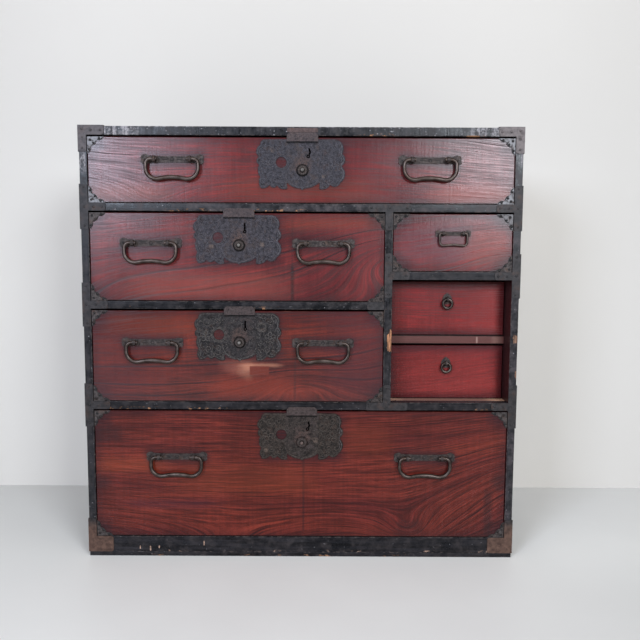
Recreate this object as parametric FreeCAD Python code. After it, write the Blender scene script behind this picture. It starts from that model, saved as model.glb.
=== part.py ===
"""Choba tansu: a lacquered merchant's chest of seven drawers with iron fittings.

The chest is built board by board, as it comes apart on a bench: a case of housed and
finger-jointed boards, drawers of five boards each, and forged iron nailed over them.
Sizes are in millimetres. X runs to the right, Y from the front to the back and Z up.
The origin lies on the floor, under the middle of the whole chest.
"""
import FreeCAD
import Part
import math
import os

V = FreeCAD.Vector
X_AXIS = V(1, 0, 0)
Y_AXIS = V(0, 1, 0)
Z_AXIS = V(0, 0, 1)

# Openings of the case, as seen from the front
LEFT_OPENING_W = 613.0
RIGHT_OPENING_W = 249.0
TOP_OPENING_H = 136.5
UPPER_OPENING_H = 185.5
LOWER_OPENING_H = 196.0
BOTTOM_OPENING_H = 278.0
SMALL_OPENING_H = 122.5
NICHE_DEPTH = 52.0

# Boards of the case
CASE_D = 424.0
SIDE_T = 16.0
PARTITION_T = 16.0
TOP_T = 18.0
BOTTOM_T = 10.0
BACK_T = 8.0
BASE_RAIL_H = 34.0
RAIL_H = 16.5
RAIL_D = 26.0
DUST_BOARD_T = 10.0
NICHE_SHELF_T = 18.5
RUNNER_W = 28.0
HOUSING_DEPTH = 5.0
FINGER_COUNT = 7
BACK_BOARD_COUNT = 4

# Boards of a drawer, and the room that it runs in
FRONT_T = 18.0
FRONT_LAP = 8.0
FRONT_CHAMFER = 1.2
FRONT_SETBACK = 1.5
DRAWER_SIDE_T = 10.0
DRAWER_BACK_T = 9.0
DRAWER_BOTTOM_T = 7.0
DRAWER_SIDE_DROP = 6.0
SIDE_GAP = 1.2
TOP_GAP = 3.5
RUN_GAP = 0.3
REAR_GAP = 8.0

# Iron straps on the frame
STRAP_T = 1.5
STRAP_ARM = 52.0
STRAP_REACH = 46.0
PARTITION_STRAP_ARM = 36.0
BASE_STRAP_REACH = 73.0
SIDE_FLAP_W = 17.0
STRAP_END_R = 5.0

# Corner plates of the drawer fronts
CORNER_LEG = 34.0
CORNER_T = 1.2
CORNER_LOBE = 3.2

# Lock: plate, guard, collar, case, bolt and push button
LOCK_DROP = 66.0
LOCK_PLATE_T = 2.0
LOCK_PLATE_W = 180.0
LOCK_PLATE_UP = 62.0
LOCK_PLATE_DOWN = 40.0
WIDE_LOCK_SHIFT = 2.5
LEFT_LOCK_SHIFT = 4.0
GUARD_W = 64.0
GUARD_T = 2.0
GUARD_UP = 9.5
GUARD_DOWN = 10.5
GUARD_CHAMFER = 5.0
GUARD_SCALLOP = 2.2
WINDOW_R = 11.0
WINDOW_LEFT = 43.5
WINDOW_UP = 16.0
KEYHOLE_RIGHT = 12.0
KEYHOLE_UP = 28.0
KEYHOLE_R = 3.8
KEYHOLE_PIN_R = 1.3
KEYHOLE_SLOT_W = 3.8
KEYHOLE_SLOT_L = 17.0
KEYHOLE_CROOK = 28.0
COLLAR_R = 12.0
COLLAR_H = 4.0
BUTTON_R = 4.8
BUTTON_OUT = 12.0
BUTTON_TRAVEL = 6.0
BUTTON_DOME_R = 3.8
LOCK_SKIN = 6.0
LOCK_CASE_W = 88.0
LOCK_CASE_BELOW = 18.0
BOLT_W = 24.0
BOLT_T = 6.0
BOLT_LIFT = 8.0
BOLT_TOP_GAP = 0.5
BOLT_FOOT = 3.0
CASE_WALL = 3.2
TAIL_W = 6.4
TAIL_FOOT = 2.5
TAIL_TIP_T = 1.0
TAIL_BITE = 1.0
MORTISE_ROOM = 0.8
MORTISE_EXTRA = 1.5
SLIDE_GAP = 0.3

# The scalloped edge of a lock plate, clockwise from its upper left: across, up and bulge,
# in hundredths of its half width, its height above the button and its depth below
LOCK_SHAPE = [
    (-83, 100, 0), (74.5, 100, 10), (90, 54, 8.3), (88, 14.7, 10), (86.5, -61, 6.7), (64, -72, 4.4),
    (39, -94, 0), (39.3, -59, 3.3), (5.5, -91, -0.6), (0, -100, -0.6), (-5.5, -91, 3.3), (-35.5, -61, 0),
    (-34.5, -93, 4.4), (-57.7, -76, 5.5), (-74.4, -74, 2.8), (-94, -91, 4.4), (-95.6, -34, 4.4),
    (-98, 18.4, 6), (-98.9, 43.5, 7.8), (-95.6, 82, 4.4),
]

# Large handles: back plate, eyes and bail
WIDE_HANDLE_INSET = 173.8
LEFT_HANDLE_INSET = 126.3
TOP_HANDLE_DROP = 45.0
UPPER_HANDLE_DROP = 62.0
LOWER_HANDLE_DROP = 67.0
BOTTOM_HANDLE_DROP = 99.0
HANDLE_PLATE_L = 127.0
HANDLE_PLATE_H = 15.0
HANDLE_PLATE_T = 1.5
HANDLE_LOBE_H = 19.0
BAIL_SPAN = 73.0
BAIL_W = 107.0
BAIL_DROP = 40.5
BAIL_RISE = 3.4
BAIL_CORNER_R = 22.0
BAIL_ROD_R = 3.5
BAIL_GRIP_R = 4.7
PIVOT_OUT = 9.0
EYE_R = 6.3
EYE_W = 6.0

# Small handle of the small drawer
SMALL_HANDLE_DROP = 40.0
SMALL_PLATE_L = 72.0
SMALL_PLATE_H = 10.0
SMALL_LOBE_H = 13.0
SMALL_BAIL_SPAN = 41.0
SMALL_BAIL_W = 57.0
SMALL_BAIL_DROP = 25.0
SMALL_BAIL_RISE = 1.6
SMALL_BAIL_CORNER_R = 8.0
SMALL_ROD_R = 2.1
SMALL_GRIP_R = 2.7
SMALL_PIVOT_OUT = 6.5
SMALL_EYE_R = 4.7
SMALL_EYE_W = 4.6

# Ring pulls of the two niche drawers
RING_DROP = 38.0
RING_R = 9.8
RING_ROD_R = 3.1
RING_PIVOT_OUT = 7.2
RING_EYE_R = 5.7
RING_EYE_W = 4.0
RING_EYE_BORE_R = 3.75
ROSE_W = 20.0
ROSE_H = 22.0
ROSE_LOBE = 1.6

# What the eyes of all pulls share
EYE_GAP = 0.35
SHANK_H = 5.0
CLINCH_L = 11.0
CLINCH_T = 1.5

# Levels of the case, from the floor up
Z_BASE_TOP = BOTTOM_T + BASE_RAIL_H
Z_LOWER_RAIL = Z_BASE_TOP + BOTTOM_OPENING_H
Z_LOWER_FLOOR = Z_LOWER_RAIL + RAIL_H
Z_LEFT_RAIL = Z_LOWER_FLOOR + LOWER_OPENING_H
Z_LEFT_FLOOR = Z_LEFT_RAIL + RAIL_H
Z_UPPER_RAIL = Z_LEFT_FLOOR + UPPER_OPENING_H
Z_UPPER_FLOOR = Z_UPPER_RAIL + RAIL_H
Z_TOP_UNDER = Z_UPPER_FLOOR + TOP_OPENING_H
CASE_H = Z_TOP_UNDER + TOP_T
Z_RIGHT_FLOOR = Z_UPPER_RAIL - SMALL_OPENING_H
Z_RIGHT_RAIL = Z_RIGHT_FLOOR - RAIL_H
NICHE_BAY_H = (Z_RIGHT_RAIL - Z_LOWER_FLOOR - NICHE_SHELF_T) / 2
Z_NICHE_SHELF = Z_LOWER_FLOOR + NICHE_BAY_H
Z_NICHE_FLOOR = Z_NICHE_SHELF + NICHE_SHELF_T

# Places across the case
CASE_W = 2 * SIDE_T + LEFT_OPENING_W + PARTITION_T + RIGHT_OPENING_W
X_LEFT = -CASE_W / 2
X_RIGHT = CASE_W / 2
X_LEFT_IN = X_LEFT + SIDE_T
X_RIGHT_IN = X_RIGHT - SIDE_T
X_PARTITION = X_LEFT_IN + LEFT_OPENING_W
X_PARTITION_END = X_PARTITION + PARTITION_T

# Places through the depth: the case stands so that the whole chest is centred on Y
BUTTON_PROUD = LOCK_PLATE_T + BUTTON_OUT - FRONT_SETBACK
BAIL_PROUD = PIVOT_OUT + BAIL_GRIP_R - FRONT_SETBACK
FRONT = -(CASE_D - max(BUTTON_PROUD, BAIL_PROUD)) / 2
BACK = FRONT + CASE_D
BACK_IN = BACK - BACK_T
RAIL_BACK = FRONT + RAIL_D

# Lock sizes that follow from the fit of its pieces
BUTTON_BORE_R = BUTTON_R + SLIDE_GAP
BOLT_FRONT = LOCK_SKIN + CASE_WALL + SLIDE_GAP
BOLT_SLOPE = BOLT_LIFT / BUTTON_TRAVEL
TAIL_TIP = BOLT_FRONT + TAIL_BITE
BOLT_FOOT_TOP = -(TAIL_FOOT + BOLT_LIFT + SLIDE_GAP)
BOLT_BOTTOM = BOLT_FOOT_TOP - BOLT_FOOT
MORTISE_DEPTH = BOLT_LIFT - BOLT_TOP_GAP - TOP_GAP + MORTISE_EXTRA


def box(x0, x1, y0, y1, z0, z1):
    """A board given by its two corners."""
    return Part.makeBox(x1 - x0, y1 - y0, z1 - z0, V(x0, y0, z0))


def plate(points, origin, u_axis, w_axis, thickness):
    """A flat plate. Each point is (u, w, bulge): the edge to the next point is straight,
    or an arc that swells by that much to the left of the way along it."""
    edges = []
    for (u0, w0, bulge), (u1, w1, _) in zip(points, points[1:] + points[:1]):
        start = origin + u_axis * u0 + w_axis * w0
        end = origin + u_axis * u1 + w_axis * w1
        if bulge:
            length = math.hypot(u1 - u0, w1 - w0)
            side = (u_axis * (w0 - w1) + w_axis * (u1 - u0)) / length
            middle = (start + end) / 2 + side * bulge
            edges.append(Part.Arc(start, middle, end).toShape())
        else:
            edges.append(Part.LineSegment(start, end).toShape())
    return Part.Face(Part.Wire(edges)).extrude(thickness)


def face_plate(points, x, y, z, thickness):
    """A plate on a face that looks to the front: its outline is centred at x and z."""
    return plate(points, V(x, y, z), X_AXIS, Z_AXIS, V(0, -thickness, 0))


def rounded_bar(u0, u1, w0, w1, round_low=False, round_high=False):
    """The outline of a strap's arm, whose low or high end along u has rounded corners."""
    r = min(STRAP_END_R, (w1 - w0) / 2.5)
    swell = r * (1 - math.sqrt(0.5))
    points = []
    if round_low:
        points += [(u0, w1 - r, swell), (u0 + r, w1, 0)]
    else:
        points += [(u0, w1, 0)]
    if round_high:
        points += [(u1 - r, w1, swell), (u1, w1 - r, 0), (u1, w0 + r, swell), (u1 - r, w0, 0)]
    else:
        points += [(u1, w1, 0), (u1, w0, 0)]
    if round_low:
        points += [(u0 + r, w0, swell), (u0, w0 + r, 0)]
    else:
        points += [(u0, w0, 0)]
    return points


def cylinder(radius, centre, axis, length):
    """A round bar that starts at centre and runs along axis."""
    return Part.makeCylinder(radius, length, centre, axis)


def fused(shapes):
    """One solid out of pieces that touch or overlap."""
    first, *rest = shapes
    return first.fuse(rest).removeSplitter()


class Drawer:
    """One opening of the case and the drawer that fills it."""

    def __init__(self, name, x0, x1, floor, ceiling, setback=FRONT_SETBACK):
        self.name = name
        self.x0 = x0 + SIDE_GAP
        self.x1 = x1 - SIDE_GAP
        self.z0 = floor + RUN_GAP
        self.z1 = ceiling - TOP_GAP
        self.face = FRONT + setback
        self.inside = self.face + FRONT_T
        self.back = BACK_IN - REAR_GAP
        self.centre = (x0 + x1) / 2
        self.side_top = self.z1 - DRAWER_SIDE_DROP
        self.has_lock = False
        self.handles = []
        self.ring = False

    def add_lock(self, shift, crook=0.0):
        """A lock on the front, shift to the right of its middle. Its keyhole may be crooked."""
        self.has_lock = True
        self.lock_x = self.centre + shift
        self.lock_z = self.z1 - LOCK_DROP
        self.crook = crook
        return self

    def add_handles(self, inset, drop):
        """A pair of large handles, each inset from its end of the front."""
        self.handles = [self.x0 + inset, self.x1 - inset]
        self.handle_z = self.z1 - drop
        return self


def all_drawers():
    """The seven drawers, from the top of the chest down."""
    top = Drawer("top_drawer", X_LEFT_IN, X_RIGHT_IN, Z_UPPER_FLOOR, Z_TOP_UNDER)
    top.add_lock(WIDE_LOCK_SHIFT, KEYHOLE_CROOK).add_handles(WIDE_HANDLE_INSET, TOP_HANDLE_DROP)
    upper = Drawer("upper_left_drawer", X_LEFT_IN, X_PARTITION, Z_LEFT_FLOOR, Z_UPPER_RAIL)
    upper.add_lock(LEFT_LOCK_SHIFT).add_handles(LEFT_HANDLE_INSET, UPPER_HANDLE_DROP)
    lower = Drawer("lower_left_drawer", X_LEFT_IN, X_PARTITION, Z_LOWER_FLOOR, Z_LEFT_RAIL)
    lower.add_lock(LEFT_LOCK_SHIFT).add_handles(LEFT_HANDLE_INSET, LOWER_HANDLE_DROP)
    bottom = Drawer("bottom_drawer", X_LEFT_IN, X_RIGHT_IN, Z_BASE_TOP, Z_LOWER_RAIL)
    bottom.add_lock(WIDE_LOCK_SHIFT, KEYHOLE_CROOK).add_handles(WIDE_HANDLE_INSET, BOTTOM_HANDLE_DROP)
    small = Drawer("small_drawer", X_PARTITION_END, X_RIGHT_IN, Z_RIGHT_FLOOR, Z_UPPER_RAIL)
    small.handles = [small.centre]
    small.handle_z = small.z1 - SMALL_HANDLE_DROP
    niche_upper = Drawer("niche_upper_drawer", X_PARTITION_END, X_RIGHT_IN,
                         Z_NICHE_FLOOR, Z_RIGHT_RAIL, NICHE_DEPTH)
    niche_lower = Drawer("niche_lower_drawer", X_PARTITION_END, X_RIGHT_IN,
                         Z_LOWER_FLOOR, Z_NICHE_SHELF, NICHE_DEPTH)
    for drawer in (niche_upper, niche_lower):
        drawer.ring = True
        drawer.handles = [drawer.centre]
        drawer.handle_z = drawer.z1 - RING_DROP
    return [top, upper, lower, bottom, small, niche_upper, niche_lower]


# The case

def finger_spans():
    """The stretches of a corner joint that belong to the side board."""
    step = (BACK_IN - FRONT) / FINGER_COUNT
    return [(FRONT + step * i, FRONT + step * (i + 1)) for i in range(1, FINGER_COUNT, 2)]


def end_board(z0, z1):
    """The top or the bottom board, notched at both ends for the side boards' fingers."""
    board = box(X_LEFT, X_RIGHT, FRONT, BACK_IN, z0, z1)
    for y0, y1 in finger_spans():
        board = board.cut(box(X_LEFT, X_LEFT_IN, y0, y1, z0, z1))
        board = board.cut(box(X_RIGHT_IN, X_RIGHT, y0, y1, z0, z1))
    return board


def side_board(x0, x1):
    """A side board with fingers at its top and bottom ends."""
    pieces = [box(x0, x1, FRONT, BACK_IN, BOTTOM_T, Z_TOP_UNDER)]
    for y0, y1 in finger_spans():
        pieces.append(box(x0, x1, y0, y1, 0, BOTTOM_T))
        pieces.append(box(x0, x1, y0, y1, Z_TOP_UNDER, CASE_H))
    return fused(pieces)


def rail(x0, x1, z):
    """A front rail that is let into its neighbours at both ends."""
    return box(x0 - HOUSING_DEPTH, x1 + HOUSING_DEPTH, FRONT, RAIL_BACK, z, z + RAIL_H)


def dust_board(x0, x1, z):
    """The thin board behind a rail, flush with the rail's top: the floor of a drawer."""
    return box(x0 - HOUSING_DEPTH, x1 + HOUSING_DEPTH, RAIL_BACK, BACK_IN,
               z + RAIL_H - DUST_BOARD_T, z + RAIL_H)


def bolt_mortise(drawer):
    """The hole above a drawer that its lock bolt rises into."""
    y0 = drawer.face + BOLT_FRONT - MORTISE_ROOM
    y1 = drawer.face + BOLT_FRONT + BOLT_T + MORTISE_ROOM
    half = BOLT_W / 2 + MORTISE_ROOM
    z0 = drawer.z1 + TOP_GAP
    return box(drawer.lock_x - half, drawer.lock_x + half, y0, y1, z0, z0 + MORTISE_DEPTH)


def case_nodes(drawers):
    """Every board of the case."""
    spans = {
        "upper": (X_LEFT_IN, X_RIGHT_IN, Z_UPPER_RAIL),
        "lower": (X_LEFT_IN, X_RIGHT_IN, Z_LOWER_RAIL),
        "left_mid": (X_LEFT_IN, X_PARTITION, Z_LEFT_RAIL),
        "right_mid": (X_PARTITION_END, X_RIGHT_IN, Z_RIGHT_RAIL),
    }
    rails = {key: rail(*span) for key, span in spans.items()}
    floors = {key: dust_board(*span) for key, span in spans.items()}
    shelf = box(X_PARTITION_END - HOUSING_DEPTH, X_RIGHT_IN + HOUSING_DEPTH,
                FRONT + NICHE_DEPTH, BACK_IN, Z_NICHE_SHELF, Z_NICHE_FLOOR)
    housed = [*rails.values(), *floors.values(), shelf]

    partition = fused([
        box(X_PARTITION, X_PARTITION_END, FRONT, BACK_IN, Z_LOWER_FLOOR, Z_UPPER_RAIL),
        box(X_PARTITION, X_PARTITION_END, RAIL_BACK, BACK_IN,
            Z_UPPER_RAIL, Z_UPPER_FLOOR - DUST_BOARD_T),
    ])
    top_drawer, upper_drawer, lower_drawer, bottom_drawer = drawers[:4]
    step = CASE_H / BACK_BOARD_COUNT
    back = [box(X_LEFT, X_RIGHT, BACK_IN, BACK, step * i, step * (i + 1))
            for i in range(BACK_BOARD_COUNT)]
    runners = [box(x, x + RUNNER_W, RAIL_BACK, BACK_IN, BOTTOM_T, Z_BASE_TOP)
               for x in (X_LEFT_IN, X_RIGHT_IN - RUNNER_W)]
    return {
        "top_board": end_board(Z_TOP_UNDER, CASE_H).cut(bolt_mortise(top_drawer)),
        "bottom_board": end_board(0, BOTTOM_T),
        "left_side_board": side_board(X_LEFT, X_LEFT_IN).cut(housed),
        "right_side_board": side_board(X_RIGHT_IN, X_RIGHT).cut(housed),
        "partition_board": partition.cut(housed),
        "back_boards": Part.makeCompound(back),
        "upper_rail": rails["upper"].cut(bolt_mortise(upper_drawer)),
        "left_mid_rail": rails["left_mid"].cut(bolt_mortise(lower_drawer)),
        "lower_rail": rails["lower"].cut(bolt_mortise(bottom_drawer)),
        "right_mid_rail": rails["right_mid"],
        "base_rail": box(X_LEFT_IN, X_RIGHT_IN, FRONT, RAIL_BACK, BOTTOM_T, Z_BASE_TOP),
        "dust_boards": Part.makeCompound(list(floors.values())),
        "niche_shelf": shelf,
        "bottom_runners": Part.makeCompound(runners),
    }


# Iron straps over the joints of the frame

def front_strap(x0, x1, z0, z1, **ends):
    """A strap along X on the front of the frame."""
    return face_plate(rounded_bar(x0, x1, z0, z1, **ends), 0, FRONT, 0, STRAP_T)


def upright_strap(x0, x1, z0, z1, **ends):
    """A strap along Z on the front of the frame."""
    points = rounded_bar(z0, z1, -x1, -x0, **ends)
    return plate(points, V(0, FRONT, 0), Z_AXIS, -X_AXIS, V(0, -STRAP_T, 0))


def side_strap(hand, z0, z1, length):
    """A flap that runs back from the front corner on an outer side: hand is -1 or 1."""
    points = rounded_bar(FRONT - STRAP_T, FRONT + length, z0, z1, round_high=True)
    return plate(points, V(hand * X_RIGHT, 0, 0), Y_AXIS, Z_AXIS, V(hand * STRAP_T, 0, 0))


def top_strap(hand, x_length, y_length):
    """A flap on top of the case at a front corner."""
    points = rounded_bar(-STRAP_T, x_length, -STRAP_T, y_length, round_high=True)
    return plate(points, V(hand * X_RIGHT, FRONT, CASE_H), -hand * X_AXIS, Y_AXIS,
                 V(0, 0, STRAP_T))


def stile_span(hand, arm):
    """The X span of an arm that starts at an outer corner of the case."""
    outer = hand * (X_RIGHT + STRAP_T)
    inner = hand * (X_RIGHT - arm)
    return min(outer, inner), max(outer, inner)


def inner_end(hand):
    """Which end of an arm along X is the free one."""
    return {"round_low": hand > 0, "round_high": hand < 0}


def top_corner_strap(hand):
    """The three-faced iron at a top front corner."""
    low = CASE_H - STRAP_ARM
    return fused([
        front_strap(*stile_span(hand, STRAP_ARM), Z_TOP_UNDER, CASE_H + STRAP_T, **inner_end(hand)),
        upright_strap(*stile_span(hand, SIDE_T), low, CASE_H + STRAP_T, round_low=True),
        side_strap(hand, Z_TOP_UNDER, CASE_H + STRAP_T, STRAP_ARM),
        side_strap(hand, low, CASE_H + STRAP_T, SIDE_FLAP_W),
        top_strap(hand, STRAP_ARM, SIDE_FLAP_W),
        top_strap(hand, SIDE_FLAP_W, STRAP_ARM),
    ])


def base_corner_strap(hand):
    """The iron at a bottom front corner, above the edge of the bottom board."""
    high = BOTTOM_T + BASE_STRAP_REACH
    return fused([
        front_strap(*stile_span(hand, STRAP_ARM), BOTTOM_T, Z_BASE_TOP, **inner_end(hand)),
        upright_strap(*stile_span(hand, SIDE_T), BOTTOM_T, high, round_high=True),
        side_strap(hand, BOTTOM_T, Z_BASE_TOP, STRAP_ARM),
        side_strap(hand, BOTTOM_T, high, SIDE_FLAP_W),
    ])


def stile_strap(hand, z):
    """A T over the joint of a stile and the rail whose lower edge is at z."""
    low = z + RAIL_H / 2 - STRAP_REACH
    high = z + RAIL_H / 2 + STRAP_REACH
    return fused([
        front_strap(*stile_span(hand, STRAP_ARM), z, z + RAIL_H, **inner_end(hand)),
        upright_strap(*stile_span(hand, SIDE_T), low, high, round_low=True, round_high=True),
        side_strap(hand, z, z + RAIL_H, STRAP_ARM),
        side_strap(hand, low, high, SIDE_FLAP_W),
    ])


def partition_straps():
    """The irons where the partition meets the rails."""
    x0 = X_PARTITION
    x1 = X_PARTITION_END
    reach = STRAP_REACH - RAIL_H / 2
    both = {"round_low": True, "round_high": True}
    under_upper = fused([
        front_strap(x0 - PARTITION_STRAP_ARM, x1 + PARTITION_STRAP_ARM,
                    Z_UPPER_RAIL, Z_UPPER_FLOOR, **both),
        upright_strap(x0, x1, Z_UPPER_RAIL - reach, Z_UPPER_FLOOR, round_low=True),
    ])
    over_lower = fused([
        front_strap(x0 - PARTITION_STRAP_ARM, x1 + PARTITION_STRAP_ARM,
                    Z_LOWER_RAIL, Z_LOWER_FLOOR, **both),
        upright_strap(x0, x1, Z_LOWER_RAIL, Z_LOWER_FLOOR + reach, round_high=True),
    ])
    right_tee = fused([
        front_strap(x0, x1 + PARTITION_STRAP_ARM, Z_RIGHT_RAIL, Z_RIGHT_FLOOR, round_high=True),
        upright_strap(x0, x1, Z_RIGHT_RAIL - reach, Z_RIGHT_FLOOR + reach, **both),
    ])
    left_bar = front_strap(x0 - PARTITION_STRAP_ARM, x0, Z_LEFT_RAIL, Z_LEFT_FLOOR, round_low=True)
    return [under_upper, over_lower, right_tee, left_bar]


def strap_nodes():
    """All iron on the frame."""
    tees = [stile_strap(-1, z) for z in (Z_UPPER_RAIL, Z_LEFT_RAIL, Z_LOWER_RAIL)]
    tees += [stile_strap(1, z) for z in (Z_UPPER_RAIL, Z_RIGHT_RAIL, Z_LOWER_RAIL)]
    corners = [top_corner_strap(hand) for hand in (-1, 1)]
    corners += [base_corner_strap(hand) for hand in (-1, 1)]
    return {
        "corner_straps": Part.makeCompound(corners),
        "frame_straps": Part.makeCompound(tees + partition_straps()),
    }


# Pulls: back plates, eyes, bails and rings

class Pull:
    """The sizes of one kind of pull."""

    def __init__(self, span, out, eye_r, eye_w, bore_r):
        self.offsets = [-span / 2, span / 2] if span else [0.0]
        self.out = out
        self.eye_r = eye_r
        self.eye_w = eye_w
        self.bore_r = bore_r


LARGE_PULL = Pull(BAIL_SPAN, PIVOT_OUT, EYE_R, EYE_W, BAIL_ROD_R + EYE_GAP)
SMALL_PULL = Pull(SMALL_BAIL_SPAN, SMALL_PIVOT_OUT, SMALL_EYE_R, SMALL_EYE_W, SMALL_ROD_R + EYE_GAP)
RING_PULL = Pull(0, RING_PIVOT_OUT, RING_EYE_R, RING_EYE_W, RING_EYE_BORE_R)


def pull_of(drawer):
    """Which kind of pull a drawer has."""
    if drawer.ring:
        return RING_PULL
    return LARGE_PULL if drawer.has_lock else SMALL_PULL


def eye_places(drawer):
    """The X of every eye on a drawer's front."""
    return [x + offset for x in drawer.handles for offset in pull_of(drawer).offsets]


def shank(drawer, x):
    """The flat leg of an eye, through the plate and the front."""
    half = pull_of(drawer).eye_w / 2
    y0 = drawer.face - pull_of(drawer).out
    return box(x - half, x + half, y0, drawer.inside,
               drawer.handle_z - SHANK_H / 2, drawer.handle_z + SHANK_H / 2)


def eye(drawer, x):
    """A split iron eye: a ring for the bail, a leg and two ends clinched inside."""
    pull = pull_of(drawer)
    y = drawer.face - pull.out
    start = V(x - pull.eye_w / 2, y, drawer.handle_z)
    ring = cylinder(pull.eye_r, start, X_AXIS, pull.eye_w)
    clinch = box(x - CLINCH_L, x + CLINCH_L, drawer.inside, drawer.inside + CLINCH_T,
                 drawer.handle_z - SHANK_H / 2, drawer.handle_z + SHANK_H / 2)
    body = fused([ring, shank(drawer, x), clinch])
    return body.cut(cylinder(pull.bore_r, start, X_AXIS, pull.eye_w))


def handle_plate(drawer, x, length, height, lobe_h):
    """A back plate with a waist and a round lobe at each end."""
    end = length / 2
    neck = end - lobe_h * 0.75
    waist = height / 2
    lobe = lobe_h / 2
    sag = -(lobe - waist) * 0.6
    half = [(-neck, waist, sag), (neck, waist, lobe_h * 0.1), (end - lobe * 0.5, lobe, lobe * 0.35),
            (end, 0, lobe * 0.35), (end - lobe * 0.5, -lobe, lobe_h * 0.1)]
    other = [(-u, -w, bulge) for u, w, bulge in half]
    return face_plate(half + other, x, drawer.face, drawer.handle_z, HANDLE_PLATE_T)


def rose(drawer, x):
    """The small plate behind a ring pull's eye, with a pointed top."""
    half = ROSE_W / 2
    top = ROSE_H * 0.6
    side = ROSE_H * 0.1
    foot = top - ROSE_H
    points = [(-half, foot, 0), (-half, side, ROSE_LOBE), (0, top, ROSE_LOBE), (half, side, 0),
              (half, foot, ROSE_LOBE)]
    return face_plate(points, x, drawer.face, drawer.handle_z, CORNER_T)


def corner_plates(drawer):
    """Four corner plates whose long edge has three lobes."""
    leg = CORNER_LEG
    points = [(0, 0, 0), (leg, 0, CORNER_LOBE), (leg * 0.56, -leg * 0.2, CORNER_LOBE),
              (leg * 0.2, -leg * 0.56, CORNER_LOBE), (0, -leg, 0)]
    middle = V(drawer.centre, 0, (drawer.z0 + drawer.z1) / 2)
    upper_left = face_plate(points, drawer.x0, drawer.face, drawer.z1, CORNER_T)
    upper_right = upper_left.mirror(middle, X_AXIS)
    return [upper_left, upper_right, upper_left.mirror(middle, Z_AXIS),
            upper_right.mirror(middle, Z_AXIS)]


def face_plates(drawer):
    """The fixed iron on a drawer's front, apart from its lock."""
    holes = [shank(drawer, x) for x in eye_places(drawer)]
    if drawer.ring:
        backs = [rose(drawer, x) for x in drawer.handles]
    elif drawer.has_lock:
        backs = [handle_plate(drawer, x, HANDLE_PLATE_L, HANDLE_PLATE_H, HANDLE_LOBE_H)
                 for x in drawer.handles]
    else:
        backs = [handle_plate(drawer, x, SMALL_PLATE_L, SMALL_PLATE_H, SMALL_LOBE_H)
                 for x in drawer.handles]
    pieces = [back.cut(holes) for back in backs]
    pieces += [eye(drawer, x) for x in eye_places(drawer)]
    if not drawer.ring:
        pieces += corner_plates(drawer)
    return Part.makeCompound(pieces)


def bend(u, w, radius, start, turn):
    """An arc about (u, w) in the XZ plane, from an angle and through a turn in degrees."""
    def point(share):
        angle = math.radians(start + turn * share)
        return V(u + radius * math.cos(angle), 0, w + radius * math.sin(angle))
    return Part.Arc(point(0), point(0.5), point(1)).toShape()


def bail(span, width, drop, rise, corner, rod_r, grip_r, eye_w):
    """A forged bail that hangs from the origin: straight ends for the eyes, and between
    them a rod that swells towards a grip whose middle is bowed up by rise."""
    stub_in = (span - eye_w) / 2 - rod_r
    stub_out = (span + eye_w) / 2 + rod_r
    side = width / 2
    shoulder = side - stub_out
    run = side - corner
    tilt = math.degrees(2 * math.atan(rise / run))
    hollow = run / math.sin(math.radians(tilt)) - corner
    spine = Part.Wire([
        bend(stub_out, -shoulder, shoulder, 90, -90),
        Part.LineSegment(V(side, 0, -shoulder), V(side, 0, corner - drop)).toShape(),
        bend(run, corner - drop, corner, 0, -90 - tilt),
        bend(0, rise - drop - hollow, hollow, 90 - tilt, tilt),
    ])
    thin = Part.Wire(Part.Circle(V(stub_out, 0, 0), X_AXIS, rod_r).toShape())
    thick = Part.Wire(Part.Circle(V(0, 0, rise - drop), -X_AXIS, grip_r).toShape())
    rod = spine.makePipeShell([thin, thick], True, True)
    stub = cylinder(rod_r, V(stub_in, 0, 0), X_AXIS, stub_out - stub_in)
    half = [rod, stub]
    return fused(half + [piece.mirror(V(0, 0, 0), X_AXIS) for piece in half])


def large_bail():
    """The bail of a drawer with a lock."""
    return bail(BAIL_SPAN, BAIL_W, BAIL_DROP, BAIL_RISE, BAIL_CORNER_R,
                BAIL_ROD_R, BAIL_GRIP_R, EYE_W)


def small_bail():
    """The bail of the small drawer."""
    return bail(SMALL_BAIL_SPAN, SMALL_BAIL_W, SMALL_BAIL_DROP, SMALL_BAIL_RISE,
                SMALL_BAIL_CORNER_R, SMALL_ROD_R, SMALL_GRIP_R, SMALL_EYE_W)


def pivot(drawer, x):
    """The point that a bail or ring swings about."""
    return V(x, drawer.face - pull_of(drawer).out, drawer.handle_z)


def moving_pulls(drawer):
    """The bails of a drawer, or its ring, hanging in their eyes."""
    if drawer.ring:
        ring = Part.makeTorus(RING_R, RING_ROD_R, V(0, 0, -RING_R), Y_AXIS)
        return {"ring": ring.translated(pivot(drawer, drawer.handles[0]))}
    if drawer.has_lock:
        return {f"{hand}_bail": large_bail().translated(pivot(drawer, x))
                for hand, x in zip(("left", "right"), drawer.handles)}
    return {"bail": small_bail().translated(pivot(drawer, drawer.handles[0]))}


# Locks

def lock_outline():
    """The scalloped edge of a lock plate, clockwise from its upper left, about the button."""
    half = LOCK_PLATE_W / 200
    up = LOCK_PLATE_UP / 100
    down = LOCK_PLATE_DOWN / 100
    return [(u * half, w * (up if w > 0 else down), bulge * half) for u, w, bulge in LOCK_SHAPE]


def keyhole_at(drawer):
    """The middle of the keyhole's round end, on the face of the lock plate."""
    return V(drawer.lock_x + KEYHOLE_RIGHT, drawer.face - LOCK_PLATE_T, drawer.lock_z + KEYHOLE_UP)


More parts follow.
